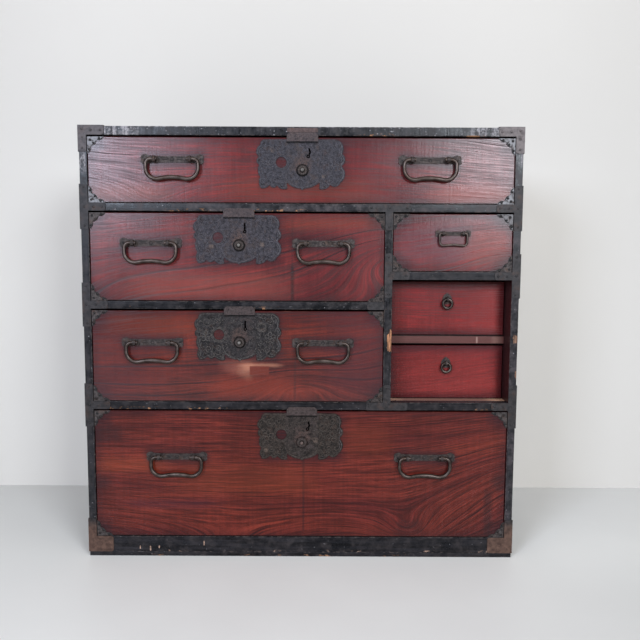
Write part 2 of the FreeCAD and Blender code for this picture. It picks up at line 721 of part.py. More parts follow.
def keyhole(drawer, depth):
    """A round hole with a slot above it, straight or crooked, through the plate and the wood."""
    half = KEYHOLE_SLOT_W / 2
    run = KEYHOLE_SLOT_L / 2
    low = math.radians(drawer.crook)
    high = -low * 0.6
    knee = (run * math.sin(low), run * math.cos(low))
    tip = (knee[0] + run * math.sin(high), knee[1] + run * math.cos(high))
    left = [(-half, 0, 0), (knee[0] - half, knee[1], 0), (tip[0] - half, tip[1], half * 0.6)]
    right = [(tip[0] + half, tip[1], 0), (knee[0] + half, knee[1], 0), (half, 0, 0)]
    slot = plate(left + right, keyhole_at(drawer), X_AXIS, Z_AXIS, V(0, depth, 0))
    return fused([cylinder(KEYHOLE_R, keyhole_at(drawer), Y_AXIS, depth), slot])


def keyhole_pin(drawer):
    """The pin in the keyhole that a hollow key turns on. It stands on the lock case."""
    return cylinder(KEYHOLE_PIN_R, keyhole_at(drawer), Y_AXIS, LOCK_PLATE_T + LOCK_SKIN)


def button_bore(drawer, depth):
    """The hole that the push button slides in, from the lock plate inwards."""
    start = V(drawer.lock_x, drawer.face - LOCK_PLATE_T, drawer.lock_z)
    return cylinder(BUTTON_BORE_R, start, Y_AXIS, depth)


def lock_box(drawer):
    """The pocket in the back of the front that the lock case fills."""
    half = LOCK_CASE_W / 2
    return box(drawer.lock_x - half, drawer.lock_x + half, drawer.face + LOCK_SKIN, drawer.inside,
               drawer.lock_z - LOCK_CASE_BELOW, drawer.z1)


def lock_case(drawer):
    """The iron case: a channel for the bolt, holes for the button and its tail, and the keyhole's pin."""
    half = BOLT_W / 2 + SLIDE_GAP
    channel = box(drawer.lock_x - half, drawer.lock_x + half,
                  drawer.face + BOLT_FRONT - SLIDE_GAP, drawer.face + BOLT_FRONT + BOLT_T + SLIDE_GAP,
                  drawer.lock_z + BOLT_BOTTOM - SLIDE_GAP, drawer.z1)
    tail_half = TAIL_W / 2 + SLIDE_GAP
    tail_way = box(drawer.lock_x - tail_half, drawer.lock_x + tail_half,
                   drawer.face + BOLT_FRONT, drawer.inside,
                   drawer.lock_z - TAIL_FOOT - SLIDE_GAP, drawer.lock_z)
    bore = button_bore(drawer, LOCK_PLATE_T + BOLT_FRONT)
    case = lock_box(drawer).cut([channel, tail_way, bore])
    return fused([case, keyhole_pin(drawer)])


def lock_plate(drawer):
    """The scalloped plate with its window, keyhole and button hole."""
    blank = face_plate(lock_outline(), drawer.lock_x, drawer.face, drawer.lock_z, LOCK_PLATE_T)
    window_at = V(drawer.lock_x - WINDOW_LEFT, drawer.face - LOCK_PLATE_T, drawer.lock_z + WINDOW_UP)
    window = cylinder(WINDOW_R, window_at, Y_AXIS, LOCK_PLATE_T)
    return blank.cut([window, keyhole(drawer, LOCK_PLATE_T), button_bore(drawer, LOCK_PLATE_T)])


def guard(drawer):
    """The tab on the lock plate that stands before the rail and hides the bolt's gap. Its lower
    edge is cut in two hollows that meet in a point."""
    half = GUARD_W / 2
    top = GUARD_UP
    low = -GUARD_DOWN
    cut = GUARD_CHAMFER
    foot = half * 0.66
    points = [(-half, low, 0), (-half, top - cut, 0), (-half + cut, top, 0), (half - cut, top, 0),
              (half, top - cut, 0), (half, low, 0), (foot, low, -GUARD_SCALLOP), (0, low, -GUARD_SCALLOP),
              (-foot, low, 0)]
    return face_plate(points, drawer.lock_x, drawer.face - LOCK_PLATE_T, drawer.z1, GUARD_T)


def collar(drawer):
    """The raised ring around the push button."""
    y = drawer.face - LOCK_PLATE_T
    ring = cylinder(COLLAR_R, V(drawer.lock_x, y - COLLAR_H, drawer.lock_z), Y_AXIS, COLLAR_H)
    ring = ring.makeFillet(COLLAR_H * 0.6, [edge for edge in ring.Edges
                                            if edge.CenterOfMass.y < y - COLLAR_H * 0.9])
    bore = cylinder(BUTTON_BORE_R, V(drawer.lock_x, y - COLLAR_H, drawer.lock_z), Y_AXIS, COLLAR_H)
    return ring.cut(bore)


def tail_line(y):
    """The height of the tail's wedge above the button's axis, at a depth behind the face."""
    return TAIL_TIP_T - TAIL_FOOT + BOLT_SLOPE * (TAIL_TIP - y)


def lock_button(drawer):
    """The push button: a domed rod whose end is filed to a wedge that lifts the bolt."""
    tip = -LOCK_PLATE_T - BUTTON_OUT
    wide = 2 * BUTTON_R
    rod = cylinder(BUTTON_R, V(0, tip, 0), Y_AXIS, TAIL_TIP - tip)
    rod = rod.makeFillet(BUTTON_DOME_R, [min(rod.Edges, key=lambda edge: edge.CenterOfMass.y)])
    shoulder = TAIL_TIP - (BUTTON_R + TAIL_FOOT - TAIL_TIP_T) / BOLT_SLOPE
    start = TAIL_TIP - (wide + TAIL_FOOT - TAIL_TIP_T) / BOLT_SLOPE
    above = [(start, wide, 0), (TAIL_TIP, wide, 0), (TAIL_TIP, tail_line(TAIL_TIP), 0)]
    flat = BOLT_FRONT - SLIDE_GAP - BUTTON_TRAVEL
    waste = [
        plate(above, V(-wide, 0, 0), Y_AXIS, Z_AXIS, V(2 * wide, 0, 0)),
        box(-wide, wide, flat, TAIL_TIP, -wide, -TAIL_FOOT),
        box(-wide, -TAIL_W / 2, shoulder, TAIL_TIP, -wide, wide),
        box(TAIL_W / 2, wide, shoulder, TAIL_TIP, -wide, wide),
    ]
    return rod.cut(waste).translated(V(drawer.lock_x, drawer.face, drawer.lock_z))


def lock_bolt(drawer):
    """The bolt: a flat bar with a window whose slanting top rides on the button's wedge."""
    half = BOLT_W / 2
    bar = box(-half, half, BOLT_FRONT, BOLT_FRONT + BOLT_T, BOLT_BOTTOM, LOCK_DROP - BOLT_TOP_GAP)
    near = BOLT_FRONT - SLIDE_GAP
    far = BOLT_FRONT + BOLT_T + SLIDE_GAP
    rise = SLIDE_GAP * math.hypot(1, BOLT_SLOPE)
    outline = [(near, BOLT_FOOT_TOP, 0), (near, tail_line(near) + rise, 0),
               (far, max(tail_line(far) + rise, BOLT_FOOT_TOP + SLIDE_GAP), 0), (far, BOLT_FOOT_TOP, 0)]
    wide = BUTTON_R + SLIDE_GAP
    window = plate(outline, V(-wide, 0, 0), Y_AXIS, Z_AXIS, V(2 * wide, 0, 0))
    return bar.cut(window).translated(V(drawer.lock_x, drawer.face, drawer.lock_z))


# Drawers

def drawer_front(drawer):
    """A drawer's front: chamfered, rabbeted for its sides and bottom, cut for its iron."""
    front = box(drawer.x0, drawer.x1, drawer.face, drawer.inside, drawer.z0, drawer.z1)
    rim = [edge for edge in front.Edges if abs(edge.CenterOfMass.y - drawer.face) < RUN_GAP]
    front = front.makeChamfer(FRONT_CHAMFER, rim)
    lap = drawer.face + FRONT_LAP
    floor = drawer.z0 + DRAWER_BOTTOM_T
    cuts = [
        box(drawer.x0, drawer.x1, lap, drawer.inside, drawer.z0, floor),
        box(drawer.x0, drawer.x0 + DRAWER_SIDE_T, lap, drawer.inside, floor, drawer.side_top),
        box(drawer.x1 - DRAWER_SIDE_T, drawer.x1, lap, drawer.inside, floor, drawer.side_top),
    ]
    cuts += [shank(drawer, x) for x in eye_places(drawer)]
    if drawer.has_lock:
        depth = LOCK_PLATE_T + LOCK_SKIN
        cuts += [lock_box(drawer), keyhole(drawer, depth), button_bore(drawer, depth)]
    return front.cut(cuts)


def drawer_box(drawer):
    """A drawer's two sides, back and bottom."""
    lap = drawer.face + FRONT_LAP
    floor = drawer.z0 + DRAWER_BOTTOM_T
    left = drawer.x0 + DRAWER_SIDE_T
    right = drawer.x1 - DRAWER_SIDE_T
    return Part.makeCompound([
        box(drawer.x0, drawer.x1, lap, drawer.back, drawer.z0, floor),
        box(drawer.x0, left, lap, drawer.back, floor, drawer.side_top),
        box(right, drawer.x1, lap, drawer.back, floor, drawer.side_top),
        box(left, right, drawer.back - DRAWER_BACK_T, drawer.back, floor, drawer.side_top),
    ])


def drawer_nodes(drawer):
    """Every piece of one drawer."""
    pieces = {
        "front": drawer_front(drawer),
        "box": drawer_box(drawer),
        "ring_mount" if drawer.ring else "face_plates": face_plates(drawer),
    }
    pieces.update(moving_pulls(drawer))
    if drawer.has_lock:
        fixed = [lock_plate(drawer), guard(drawer), collar(drawer), lock_case(drawer)]
        pieces["lock"] = Part.makeCompound(fixed)
        pieces["lock_button"] = lock_button(drawer)
        pieces["lock_bolt"] = lock_bolt(drawer)
    return {f"{drawer.name}_{key}": shape for key, shape in pieces.items()}


def main():
    drawers = all_drawers()
    nodes = case_nodes(drawers)
    nodes.update(strap_nodes())
    for drawer in drawers:
        nodes.update(drawer_nodes(drawer))
    os.makedirs("parts", exist_ok=True)
    for name, shape in nodes.items():
        shape.exportStep(f"parts/{name}.step")
        print(f"{name}: {len(shape.Solids)} solids, valid {shape.isValid()}, {shape.Volume / 1000:.1f} cm3")
    print(f"{len(nodes)} nodes, case {CASE_W:.1f} x {CASE_D:.1f} x {CASE_H:.1f} mm")


if __name__ == "__main__":
    main()
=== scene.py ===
# %% [markdown]
# # A merchant's chest, dressed over its frame
# A choba tansu is the chest of drawers that a Japanese merchant kept beside the counter.
# Its boards, drawers, locks and handles come from the packed frame, each as one object that
# already stands in its place. This lesson gives them their finish: worn black lacquer on the
# frame, red lacquer over keyaki wood on the drawers, and forged iron, with the nails and the
# chased ornament that are too small for the frame. Everything is in metres, with X to the
# right, Y from the front to the back and Z up.

# %% Load the frame
import bpy
import bmesh
import math
import random
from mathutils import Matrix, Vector


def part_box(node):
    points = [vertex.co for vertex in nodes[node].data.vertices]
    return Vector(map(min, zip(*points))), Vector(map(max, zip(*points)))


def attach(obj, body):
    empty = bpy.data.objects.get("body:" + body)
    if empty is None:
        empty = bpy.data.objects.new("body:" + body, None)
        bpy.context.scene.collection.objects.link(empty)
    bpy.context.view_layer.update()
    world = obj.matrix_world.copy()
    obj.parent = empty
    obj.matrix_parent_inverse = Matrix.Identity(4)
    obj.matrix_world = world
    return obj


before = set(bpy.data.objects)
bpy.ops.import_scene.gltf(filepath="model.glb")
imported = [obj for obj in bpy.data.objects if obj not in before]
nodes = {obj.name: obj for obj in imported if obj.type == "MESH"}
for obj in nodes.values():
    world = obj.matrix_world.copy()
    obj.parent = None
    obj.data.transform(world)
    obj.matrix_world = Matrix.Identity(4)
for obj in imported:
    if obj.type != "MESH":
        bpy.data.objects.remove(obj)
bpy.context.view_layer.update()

# %% [markdown]
# ## The camera
# A photograph of a box fixes its own camera: the edges of the front and of its drawers, whose
# sizes are known, leave one place to stand for each lens. This one is a moderate lens at two
# thirds of the height of the chest, almost straight in front of it and tipped a few degrees
# down. It was held a quarter of a degree out of level. The picture was cropped after that, so
# the sensor is shifted up a little.

# %% Camera
PICTURE = 640
FOCAL_PIXELS = 692.0
SHIFT_PIXELS = 21.04
SENSOR_MM = 36.0
TIPPED, ROLLED, TURNED = 5.522, -0.273, 0.026
camera_data = bpy.data.cameras.new("camera")
camera_data.sensor_width = SENSOR_MM
camera_data.lens = SENSOR_MM * FOCAL_PIXELS / PICTURE
camera_data.shift_y = SHIFT_PIXELS / PICTURE
camera = bpy.data.objects.new("camera", camera_data)
camera.location = (0.0402, -1.6516, 0.6084)
camera.rotation_euler = [math.radians(angle) for angle in (90 - TIPPED, ROLLED, TURNED)]
bpy.context.scene.collection.objects.link(camera)
bpy.context.scene.camera = camera
bpy.context.scene.view_settings.view_transform = "Standard"
print("lens:", round(camera_data.lens, 2), "mm")

# %% [markdown]
# ## A bench for nodes
# A material in Blender is a tree of nodes. Placing them by hand is clear on the screen but
# long in code, so this helper puts one node down, fills its sockets by name or number, and
# hands back the result that is wanted from it. A value that comes from another node is
# linked, and a plain number is written into the socket. The rest are short words for the
# nodes that this chest needs. A fade whose start is the larger number runs backwards.

# %% Node bench
class Bench:
    """One node tree, and short words for its nodes."""

    def __init__(self, tree):
        self.tree = tree

    def fill(self, socket, value):
        if isinstance(value, bpy.types.NodeSocket):
            self.tree.links.new(value, socket)
        else:
            socket.default_value = value

    def put(self, kind, values, result=0, **settings):
        node = self.tree.nodes.new(kind)
        for name, value in settings.items():
            setattr(node, name, value)
        for key, value in values.items():
            self.fill(node.inputs[key], value)
        return node.outputs[result]

    def use(self, group, result, **values):
        node = self.tree.nodes.new("ShaderNodeGroup")
        node.node_tree = group
        for name, value in values.items():
            self.fill(node.inputs[name.replace("_", " ")], value)
        return node.outputs[result]

    def place(self):
        return self.put("ShaderNodeTexCoord", {}, "Object")

    def split(self, vector):
        return self.put("ShaderNodeSeparateXYZ", {0: vector}).node.outputs[:3]

    def join(self, x, y, z):
        return self.put("ShaderNodeCombineXYZ", {0: x, 1: y, 2: z})

    def math(self, operation, a, b=0.0):
        return self.put("ShaderNodeMath", {0: a, 1: b}, operation=operation)

    def times(self, first, *others):
        for other in others:
            first = self.math("MULTIPLY", first, other)
        return first

    def plus(self, a, b):
        return self.math("ADD", a, b)

    def minus(self, a, b):
        return self.math("SUBTRACT", a, b)

    def most(self, a, b):
        return self.math("MAXIMUM", a, b)

    def least(self, a, b):
        return self.math("MINIMUM", a, b)

    def away(self, a, b=0.0):
        """How far two numbers lie apart."""
        return self.math("ABSOLUTE", self.minus(a, b))

    def vector(self, operation, a, b):
        return self.put("ShaderNodeVectorMath", {0: a, 1: b}, operation=operation)

    def length(self, vector):
        return self.put("ShaderNodeVectorMath", {0: vector}, "Value", operation="LENGTH")

    def moved(self, x, y, z):
        """The place, shifted, so that two uses of one noise differ."""
        return self.vector("ADD", self.place(), (x, y, z))

    def stretch(self, vector, x, y, z):
        return self.vector("MULTIPLY", vector, (x, y, z))

    def noise(self, vector, scale, detail=3.0, rough=0.55):
        sockets = {"Vector": vector, "Scale": scale, "Detail": detail, "Roughness": rough}
        return self.put("ShaderNodeTexNoise", sockets)

    def scatter(self, x, y, z, detail=2.0, rough=0.55):
        """Noise at a place that is put together from three numbers."""
        return self.noise(self.join(x, y, z), 1.0, detail, rough)

    def fade(self, value, start, end):
        """0 at start and 1 at end, with a soft turn at both."""
        sockets = {0: value, 1: start, 2: end}
        return self.put("ShaderNodeMapRange", sockets, interpolation_type="SMOOTHSTEP")

    def between(self, share, a, b):
        return self.put("ShaderNodeMix", {0: share, 2: a, 3: b})

    def tint(self, share, a, b):
        return self.put("ShaderNodeMix", {0: share, 6: a, 7: b}, 2, data_type="RGBA")

    def stain(self, paint, mask, strength, tone):
        """A paint with a second tone over it where the mask is, as strong as is said."""
        return self.tint(self.times(mask, strength), paint, tone)

    def shade(self, paint, share, low, high):
        """A paint made darker or lighter: times low where the share is 0, times high where it is 1."""
        if isinstance(paint, tuple):
            paint = paint[:3]
        sockets = {0: paint, "Scale": self.between(share, low, high)}
        return self.put("ShaderNodeVectorMath", sockets, operation="SCALE")


print("words on the bench:", sum(not word.startswith("_") for word in vars(Bench)))

# %% [markdown]
# Four more helpers start a node group, start a material, link a finished colour, gloss and
# relief to the shader, and give a finish to a piece of the frame. The material goes in the
# object's slot, so the mesh of the frame is left as it came.

# %% Materials and groups
def colour(red, green, blue):
    return (red, green, blue, 1.0)


def new_group(name, inputs, *outputs):
    """An empty node group: its tree, its bench, its inputs by name, and its output sockets."""
    tree = bpy.data.node_groups.new(name, "ShaderNodeTree")
    for socket_name, value in inputs.items():
        kind = "NodeSocketVector" if isinstance(value, tuple) else "NodeSocketFloat"
        socket = tree.interface.new_socket(socket_name, in_out="INPUT", socket_type=kind)
        socket.default_value = value
    for socket_name in outputs:
        tree.interface.new_socket(socket_name, in_out="OUTPUT", socket_type="NodeSocketFloat")
    start = tree.nodes.new("NodeGroupInput")
    end = tree.nodes.new("NodeGroupOutput")
    return tree, Bench(tree), {name: start.outputs[name] for name in inputs}, end.inputs


def new_material(name):
    """A material with a bare Principled shader, and the bench that it is built on."""
    material = bpy.data.materials.new(name)
    material.use_nodes = True
    shader = next(n for n in material.node_tree.nodes if n.type == "BSDF_PRINCIPLED")
    return material, Bench(material.node_tree), shader


def finish(bench, shader, base, rough, height=None, strength=0.3, depth=0.001):
    bench.fill(shader.inputs["Base Color"], base)
    bench.fill(shader.inputs["Roughness"], rough)
    if height is not None:
        sockets = {"Strength": strength, "Distance": depth, "Height": height}
        bench.fill(shader.inputs["Normal"], bench.put("ShaderNodeBump", sockets, "Normal"))


def coat_with(node, material):
    for slot in nodes[node].material_slots:
        slot.link = "OBJECT"
        slot.material = material


print("node bench ready")

# %% [markdown]
# ## Floor and wall
# The chest stands on a pale floor close to a white wall. Both are stage, not part of the
# object. The wall is a sheet that faces the camera; its back is clear and it casts no
# shadow, so the back of the chest can be looked at from behind it. Both get a very faint
# mottle, as plaster and painted floors have. Both also carry painted light: they are painted
# paler beside the chest, where the photograph shows hardly any shadow; the wall is painted
# darker higher up, and the floor darker towards its front right.

# %% Floor and wall
WALL_Y = 0.29
STAGE = 8
WALL_TOP = 6


def stage_sheet(name, corners):
    mesh = bpy.data.meshes.new(name)
    mesh.from_pydata(corners, [], [(0, 1, 2, 3)])
    sheet = bpy.data.objects.new(name, mesh)
    bpy.context.scene.collection.objects.link(sheet)
    return sheet


CORNERS = ((-STAGE, -1), (STAGE, -1), (STAGE, 1), (-STAGE, 1))
floor = stage_sheet("floor", [(x, STAGE * way, 0) for x, way in CORNERS])
wall = stage_sheet("wall", [(x, WALL_Y, WALL_TOP if way > 0 else 0) for x, way in CORNERS])
wall.visible_shadow = False
wall.visible_diffuse = False

floor_paint, bench, shader = new_material("floor_paint")
mottle = bench.noise(bench.place(), 3.0, 5.0)
x, y, z = bench.split(bench.place())
boards = bench.tint(mottle, colour(0.75, 0.735, 0.705), colour(0.83, 0.815, 0.782))
# Painted shade: the floor is painted darker towards its front right.
boards = bench.shade(boards, bench.fade(bench.minus(x, y), 0.6, 1.6), 1.0, 0.78)
# Painted light: the floor is painted paler to the right of the chest, over its shadow.
beside = bench.times(bench.fade(x, 0.40, 0.60), bench.fade(y, -0.45, -0.10))
boards = bench.shade(boards, beside, 1.0, 1.17)
finish(bench, shader, boards, bench.between(mottle, 0.35, 0.6))
floor.data.materials.append(floor_paint)

wall_paint, bench, shader = new_material("wall_paint")
mottle = bench.noise(bench.place(), 1.2, 3.0)
x, y, z = bench.split(bench.place())
plaster = bench.tint(mottle, colour(0.562, 0.528, 0.486), colour(0.602, 0.568, 0.525))
# Painted light and shade: the wall is painted lighter low down and darker higher up.
plaster = bench.shade(plaster, bench.fade(z, 0.1, 1.3), 1.07, 0.96)
# Painted light: the wall is painted paler beside the chest, over its shadow, most of all low down.
near = bench.fade(bench.away(x), 0.95, 0.52)
plaster = bench.shade(plaster, near, 1.0, bench.between(bench.fade(z, 0.72, 1.0), 1.20, 1.05))
finish(bench, shader, plaster, bench.between(mottle, 0.6, 0.8))
behind = bench.put("ShaderNodeNewGeometry", {}, "Backfacing")
clear = bench.put("ShaderNodeBsdfTransparent", {})
shown = bench.put("ShaderNodeMixShader", {0: behind, 1: shader.outputs[0], 2: clear})
output = next(n for n in wall_paint.node_tree.nodes if n.type == "OUTPUT_MATERIAL")
bench.fill(output.inputs["Surface"], shown)
wall.data.materials.append(wall_paint)
print("wall stands", WALL_Y, "m behind the middle of the chest")

# %% [markdown]
# ## Light
# Lacquer shows what stands before it. In the photograph the two ends of the top drawer carry
# a cool sheen and the middle does not, so two soft lamps stand behind the camera, one to each
# side and higher than the chest, with a darker gap between them. A wide lamp above lights the
# wall and the floor, and a dim room fills the rest.

# %% Lamps
def soft_lamp(name, place, aim, size, watts, tone):
    data = bpy.data.lights.new(name, "AREA")
    data.shape = "RECTANGLE"
    data.size, data.size_y = size
    data.energy = watts
    data.color = tone
    lamp = bpy.data.objects.new(name, data)
    lamp.location = place
    lamp.rotation_euler = (Vector(aim) - Vector(place)).to_track_quat("-Z", "Y").to_euler()
    bpy.context.scene.collection.objects.link(lamp)


CHEST_MIDDLE = (0, 0, 0.8)
WINDOW = (1.0, 1.1)
soft_lamp("left_window", (-1.62, -3.3, 1.62), CHEST_MIDDLE, WINDOW, 80, (0.76, 0.86, 1.04))
soft_lamp("right_window", (1.42, -3.3, 1.62), CHEST_MIDDLE, WINDOW, 92, (0.85, 0.92, 1.0))
soft_lamp("ceiling", (0, -1.5, 3.0), (0, -0.8, 0), (3.2, 2.0), 34, (1.0, 0.94, 0.88))
world = bpy.data.worlds.new("room")
world.use_nodes = True
room = world.node_tree.nodes["Background"]
room.inputs["Color"].default_value = (0.95, 0.97, 1.0, 1.0)
room.inputs["Strength"].default_value = 0.22
bpy.context.scene.world = world

# %% [markdown]
# ## Rubbed edges
# Lacquer wears first where a hand, a cloth or a neighbour touches it: along the edges. A board
# is a box, so its edges are known. On a face one of the three distances to the sides of the
# box is nothing, and on an edge two of them are, so the middle one of the three tells how far
# an edge is. Noise makes the band uneven. This is a node group, because every board uses it.

# %% Group: rubbed edges
edge_rub, bench, given, result = new_group(
    "rubbed_edges",
    {"Low": (0.0, 0.0, 0.0), "High": (1.0, 1.0, 1.0), "Width": 0.003, "Scale": 80.0}, "Mask")
place = bench.place()
to_low = bench.vector("SUBTRACT", place, given["Low"])
to_high = bench.vector("SUBTRACT", given["High"], place)
dx, dy, dz = bench.split(bench.vector("MINIMUM", to_low, to_high))
middle = bench.most(bench.least(dx, dy), bench.least(bench.most(dx, dy), dz))
patchy = bench.noise(place, given["Scale"], 4.0)
reach = bench.times(given["Width"], bench.fade(patchy, 0.42, 0.75))
bench.fill(result["Mask"], bench.fade(middle, bench.plus(reach, 0.0001), 0.0))
print("group:", edge_rub.name)

# %% [markdown]
# ## Stains and scars
# Iron darkens the lacquer around it, hands darken it around the handles, and knocks leave pale
# scars. All are patches of one kind: a rectangle on the front with a soft, uneven border.

# %% Group: stain patch
PATCH = ("Centre X", "Centre Z", "Half X", "Half Z", "Reach X", "Reach Z")
stain_patch, bench, given, result = new_group("stain_patch", dict.fromkeys(PATCH, 0.01), "Mask")
x, y, z = bench.split(bench.place())
uneven = bench.plus(0.45, bench.times(bench.noise(bench.place(), 45.0, 4.0), 1.1))
past = {}
for axis, place in (("X", x), ("Z", z)):
    outside = bench.minus(bench.away(place, given["Centre " + axis]), given["Half " + axis])
    past[axis] = bench.math("DIVIDE", outside, given["Reach " + axis])
past = bench.vector("MAXIMUM", bench.join(past["X"], 0.0, past["Z"]), (0.0, 0.0, 0.0))
bench.fill(result["Mask"], bench.fade(bench.times(bench.length(past), uneven), 1.0, 0.0))


def covered(bench, spots):
    """The most that any patch of a list covers: centre x and z, half sizes and reaches."""
    most = None
    for spot in spots:
        sockets = {name.replace(" ", "_"): value for name, value in zip(PATCH, spot)}
        one = bench.use(stain_patch, "Mask", **sockets)
        most = one if most is None else bench.most(most, one)
    return most


print("group:", stain_patch.name)

# %% [markdown]
# ## Grain that flows
# The lines on a board are the growth rings of the tree, cut through. Across a straight board
# they run level; where the trunk swelled they dip or arch, and near the heart they close into
# pointed arches. So the grain starts as a height, and each swell pushes that height up or down
# around one place. Lines of equal height then bend around the swells as real figure does.

# %% Group: a swell in the grain
SWELL = ("Centre_X", "Centre_Z", "Spread_X", "Spread_Z", "Lift")
grain_swell, bench, given, result = new_group(
    "grain_swell", {"Height": 0.0, **{name.replace("_", " "): 0.1 for name in SWELL}}, "Height")
x, y, z = bench.split(bench.place())
across = bench.math("DIVIDE", bench.minus(x, given["Centre X"]), given["Spread X"])
up = bench.math("DIVIDE", bench.minus(z, given["Centre Z"]), given["Spread Z"])
square = bench.plus(bench.times(across, across), bench.times(up, up))
hill = bench.math("DIVIDE", given["Lift"], bench.plus(1.0, square))
bench.fill(result["Height"], bench.plus(given["Height"], hill))
print("group:", grain_swell.name)

# %% [markdown]
# Each ring is pale where the tree grew fast and darkens to a thin hard line at the end of the
# year. On an even board all lines are alike; on an uneven one a few stand out. A line also
# fades and comes back along its way, and finer lines lie between. Short pores follow the same
# lines, and slow changes of tone cross the board.

# %% Group: keyaki grain
keyaki_grain, bench, given, result = new_group(
    "keyaki_grain", {"Height": 0.0, "Spacing": 0.01, "Even": 0.5, "Seed": 0.0},
    "Lines", "Pores", "Tone", "Flow")
seed = given["Seed"]
x, y, z = bench.split(bench.place())
shifted = bench.plus(x, seed)
waver = bench.scatter(bench.times(shifted, 4.0), y, bench.times(given["Height"], 14.0))
ripple = bench.scatter(bench.times(shifted, 20.0), y, bench.times(given["Height"], 60.0))
drift = bench.plus(bench.times(waver, 0.014), bench.times(ripple, 0.0018))
height = bench.plus(given["Height"], drift)
years = bench.scatter(seed, 0.0, bench.times(height, 18.0))
phase = bench.plus(bench.math("DIVIDE", height, given["Spacing"]), bench.times(years, 4.0))
ring = bench.math("FLOOR", phase)
share = bench.math("FRACT", phase)
luck = bench.put("ShaderNodeTexWhiteNoise", {"W": bench.plus(ring, seed)}, noise_dimensions="1D")
late = bench.times(bench.fade(share, 0.66, 0.88), bench.fade(share, 1.0, 0.90))
bold = bench.between(given["Even"], bench.math("POWER", luck, 3.0),
                     bench.plus(0.35, bench.times(luck, 0.65)))
fickle = bench.scatter(bench.times(shifted, 4.0), bench.times(ring, 3.7), seed)
lines = bench.times(late, bold, bench.between(bench.fade(fickle, 0.35, 0.65), 0.25, 1.0))
share = bench.math("FRACT", bench.times(phase, 1.73))
hair = bench.times(bench.fade(share, 0.45, 0.80), bench.fade(share, 1.0, 0.85))
shy = bench.scatter(bench.times(shifted, 7.0), bench.times(height, 90.0), seed)
hair = bench.times(hair, bench.between(bench.fade(shy, 0.35, 0.65), 0.05, 0.4))
broken = bench.scatter(bench.times(shifted, 42.0), y, bench.times(height, 260.0))
broken = bench.between(bench.fade(broken, 0.34, 0.60), 0.7, 1.5)
lines = bench.least(bench.times(bench.most(lines, hair), broken), 1.0)
pores = bench.scatter(bench.times(shifted, 13.0), bench.times(y, 13.0), bench.times(height, 340.0),
                      4.0, 0.7)
tone = bench.scatter(bench.times(shifted, 2.4), bench.times(y, 2.6), bench.times(height, 24.0), 4.0, 0.6)
for name, value in (("Lines", lines), ("Pores", pores), ("Tone", tone), ("Flow", height)):
    bench.fill(result[name], value)
print("group:", keyaki_grain.name)

# %% [markdown]
# ## Marks of the forge
# Iron fittings were hammered hot, blackened and then left to a century of hands and damp air.
# One group gives all of them a mottled tone, patches of rust and a dented surface; each iron
# sets its own scale.

# %% Group: forge marks
forge_marks, bench, given, result = new_group(
    "forge_marks", {"Scale": 120.0, "Seed": 0.0}, "Tone", "Rust", "Height")
place = bench.vector("ADD", bench.place(), bench.join(given["Seed"], given["Seed"], 0.0))
tone = bench.noise(place, given["Scale"], 4.0, 0.6)
rust = bench.noise(place, bench.times(given["Scale"], 0.45), 5.0, 0.65)
sockets = {"Vector": place, "Scale": bench.times(given["Scale"], 1.6)}
dents = bench.put("ShaderNodeTexVoronoi", sockets, "Distance", feature="SMOOTH_F1")
bench.fill(result["Tone"], tone)
bench.fill(result["Rust"], bench.fade(rust, 0.5, 0.68))
bench.fill(result["Height"], bench.plus(bench.times(dents, 0.7), bench.times(tone, 0.6)))
print("group:", forge_marks.name)

# %% [markdown]
# ## Black lacquer on the frame
# The case is painted with black lacquer over softwood. It is bluish where it is whole and
# shows tan wood where it has flaked, most of all along the lower edge of each rail, where the
# drawer below rubs it. Each board gets its own copy of the finish, because the rubbed edges
# need its corners, and because no two boards have flaked alike. Scars, scrapes and grime are
# strong near the front only: the sides and the top were kept dusted.

# %% Black lacquer
TAN_WOOD = colour(0.40, 0.20, 0.105)
BLACK_DEEP = colour(0.0042, 0.0042, 0.0054)
BLACK_THIN = colour(0.0130, 0.0118, 0.0135)
PALE_SCUFF = colour(0.29, 0.27, 0.28)
GRIME = colour(0.044, 0.036, 0.036)
WORN_EDGE = colour(0.095, 0.074, 0.066)


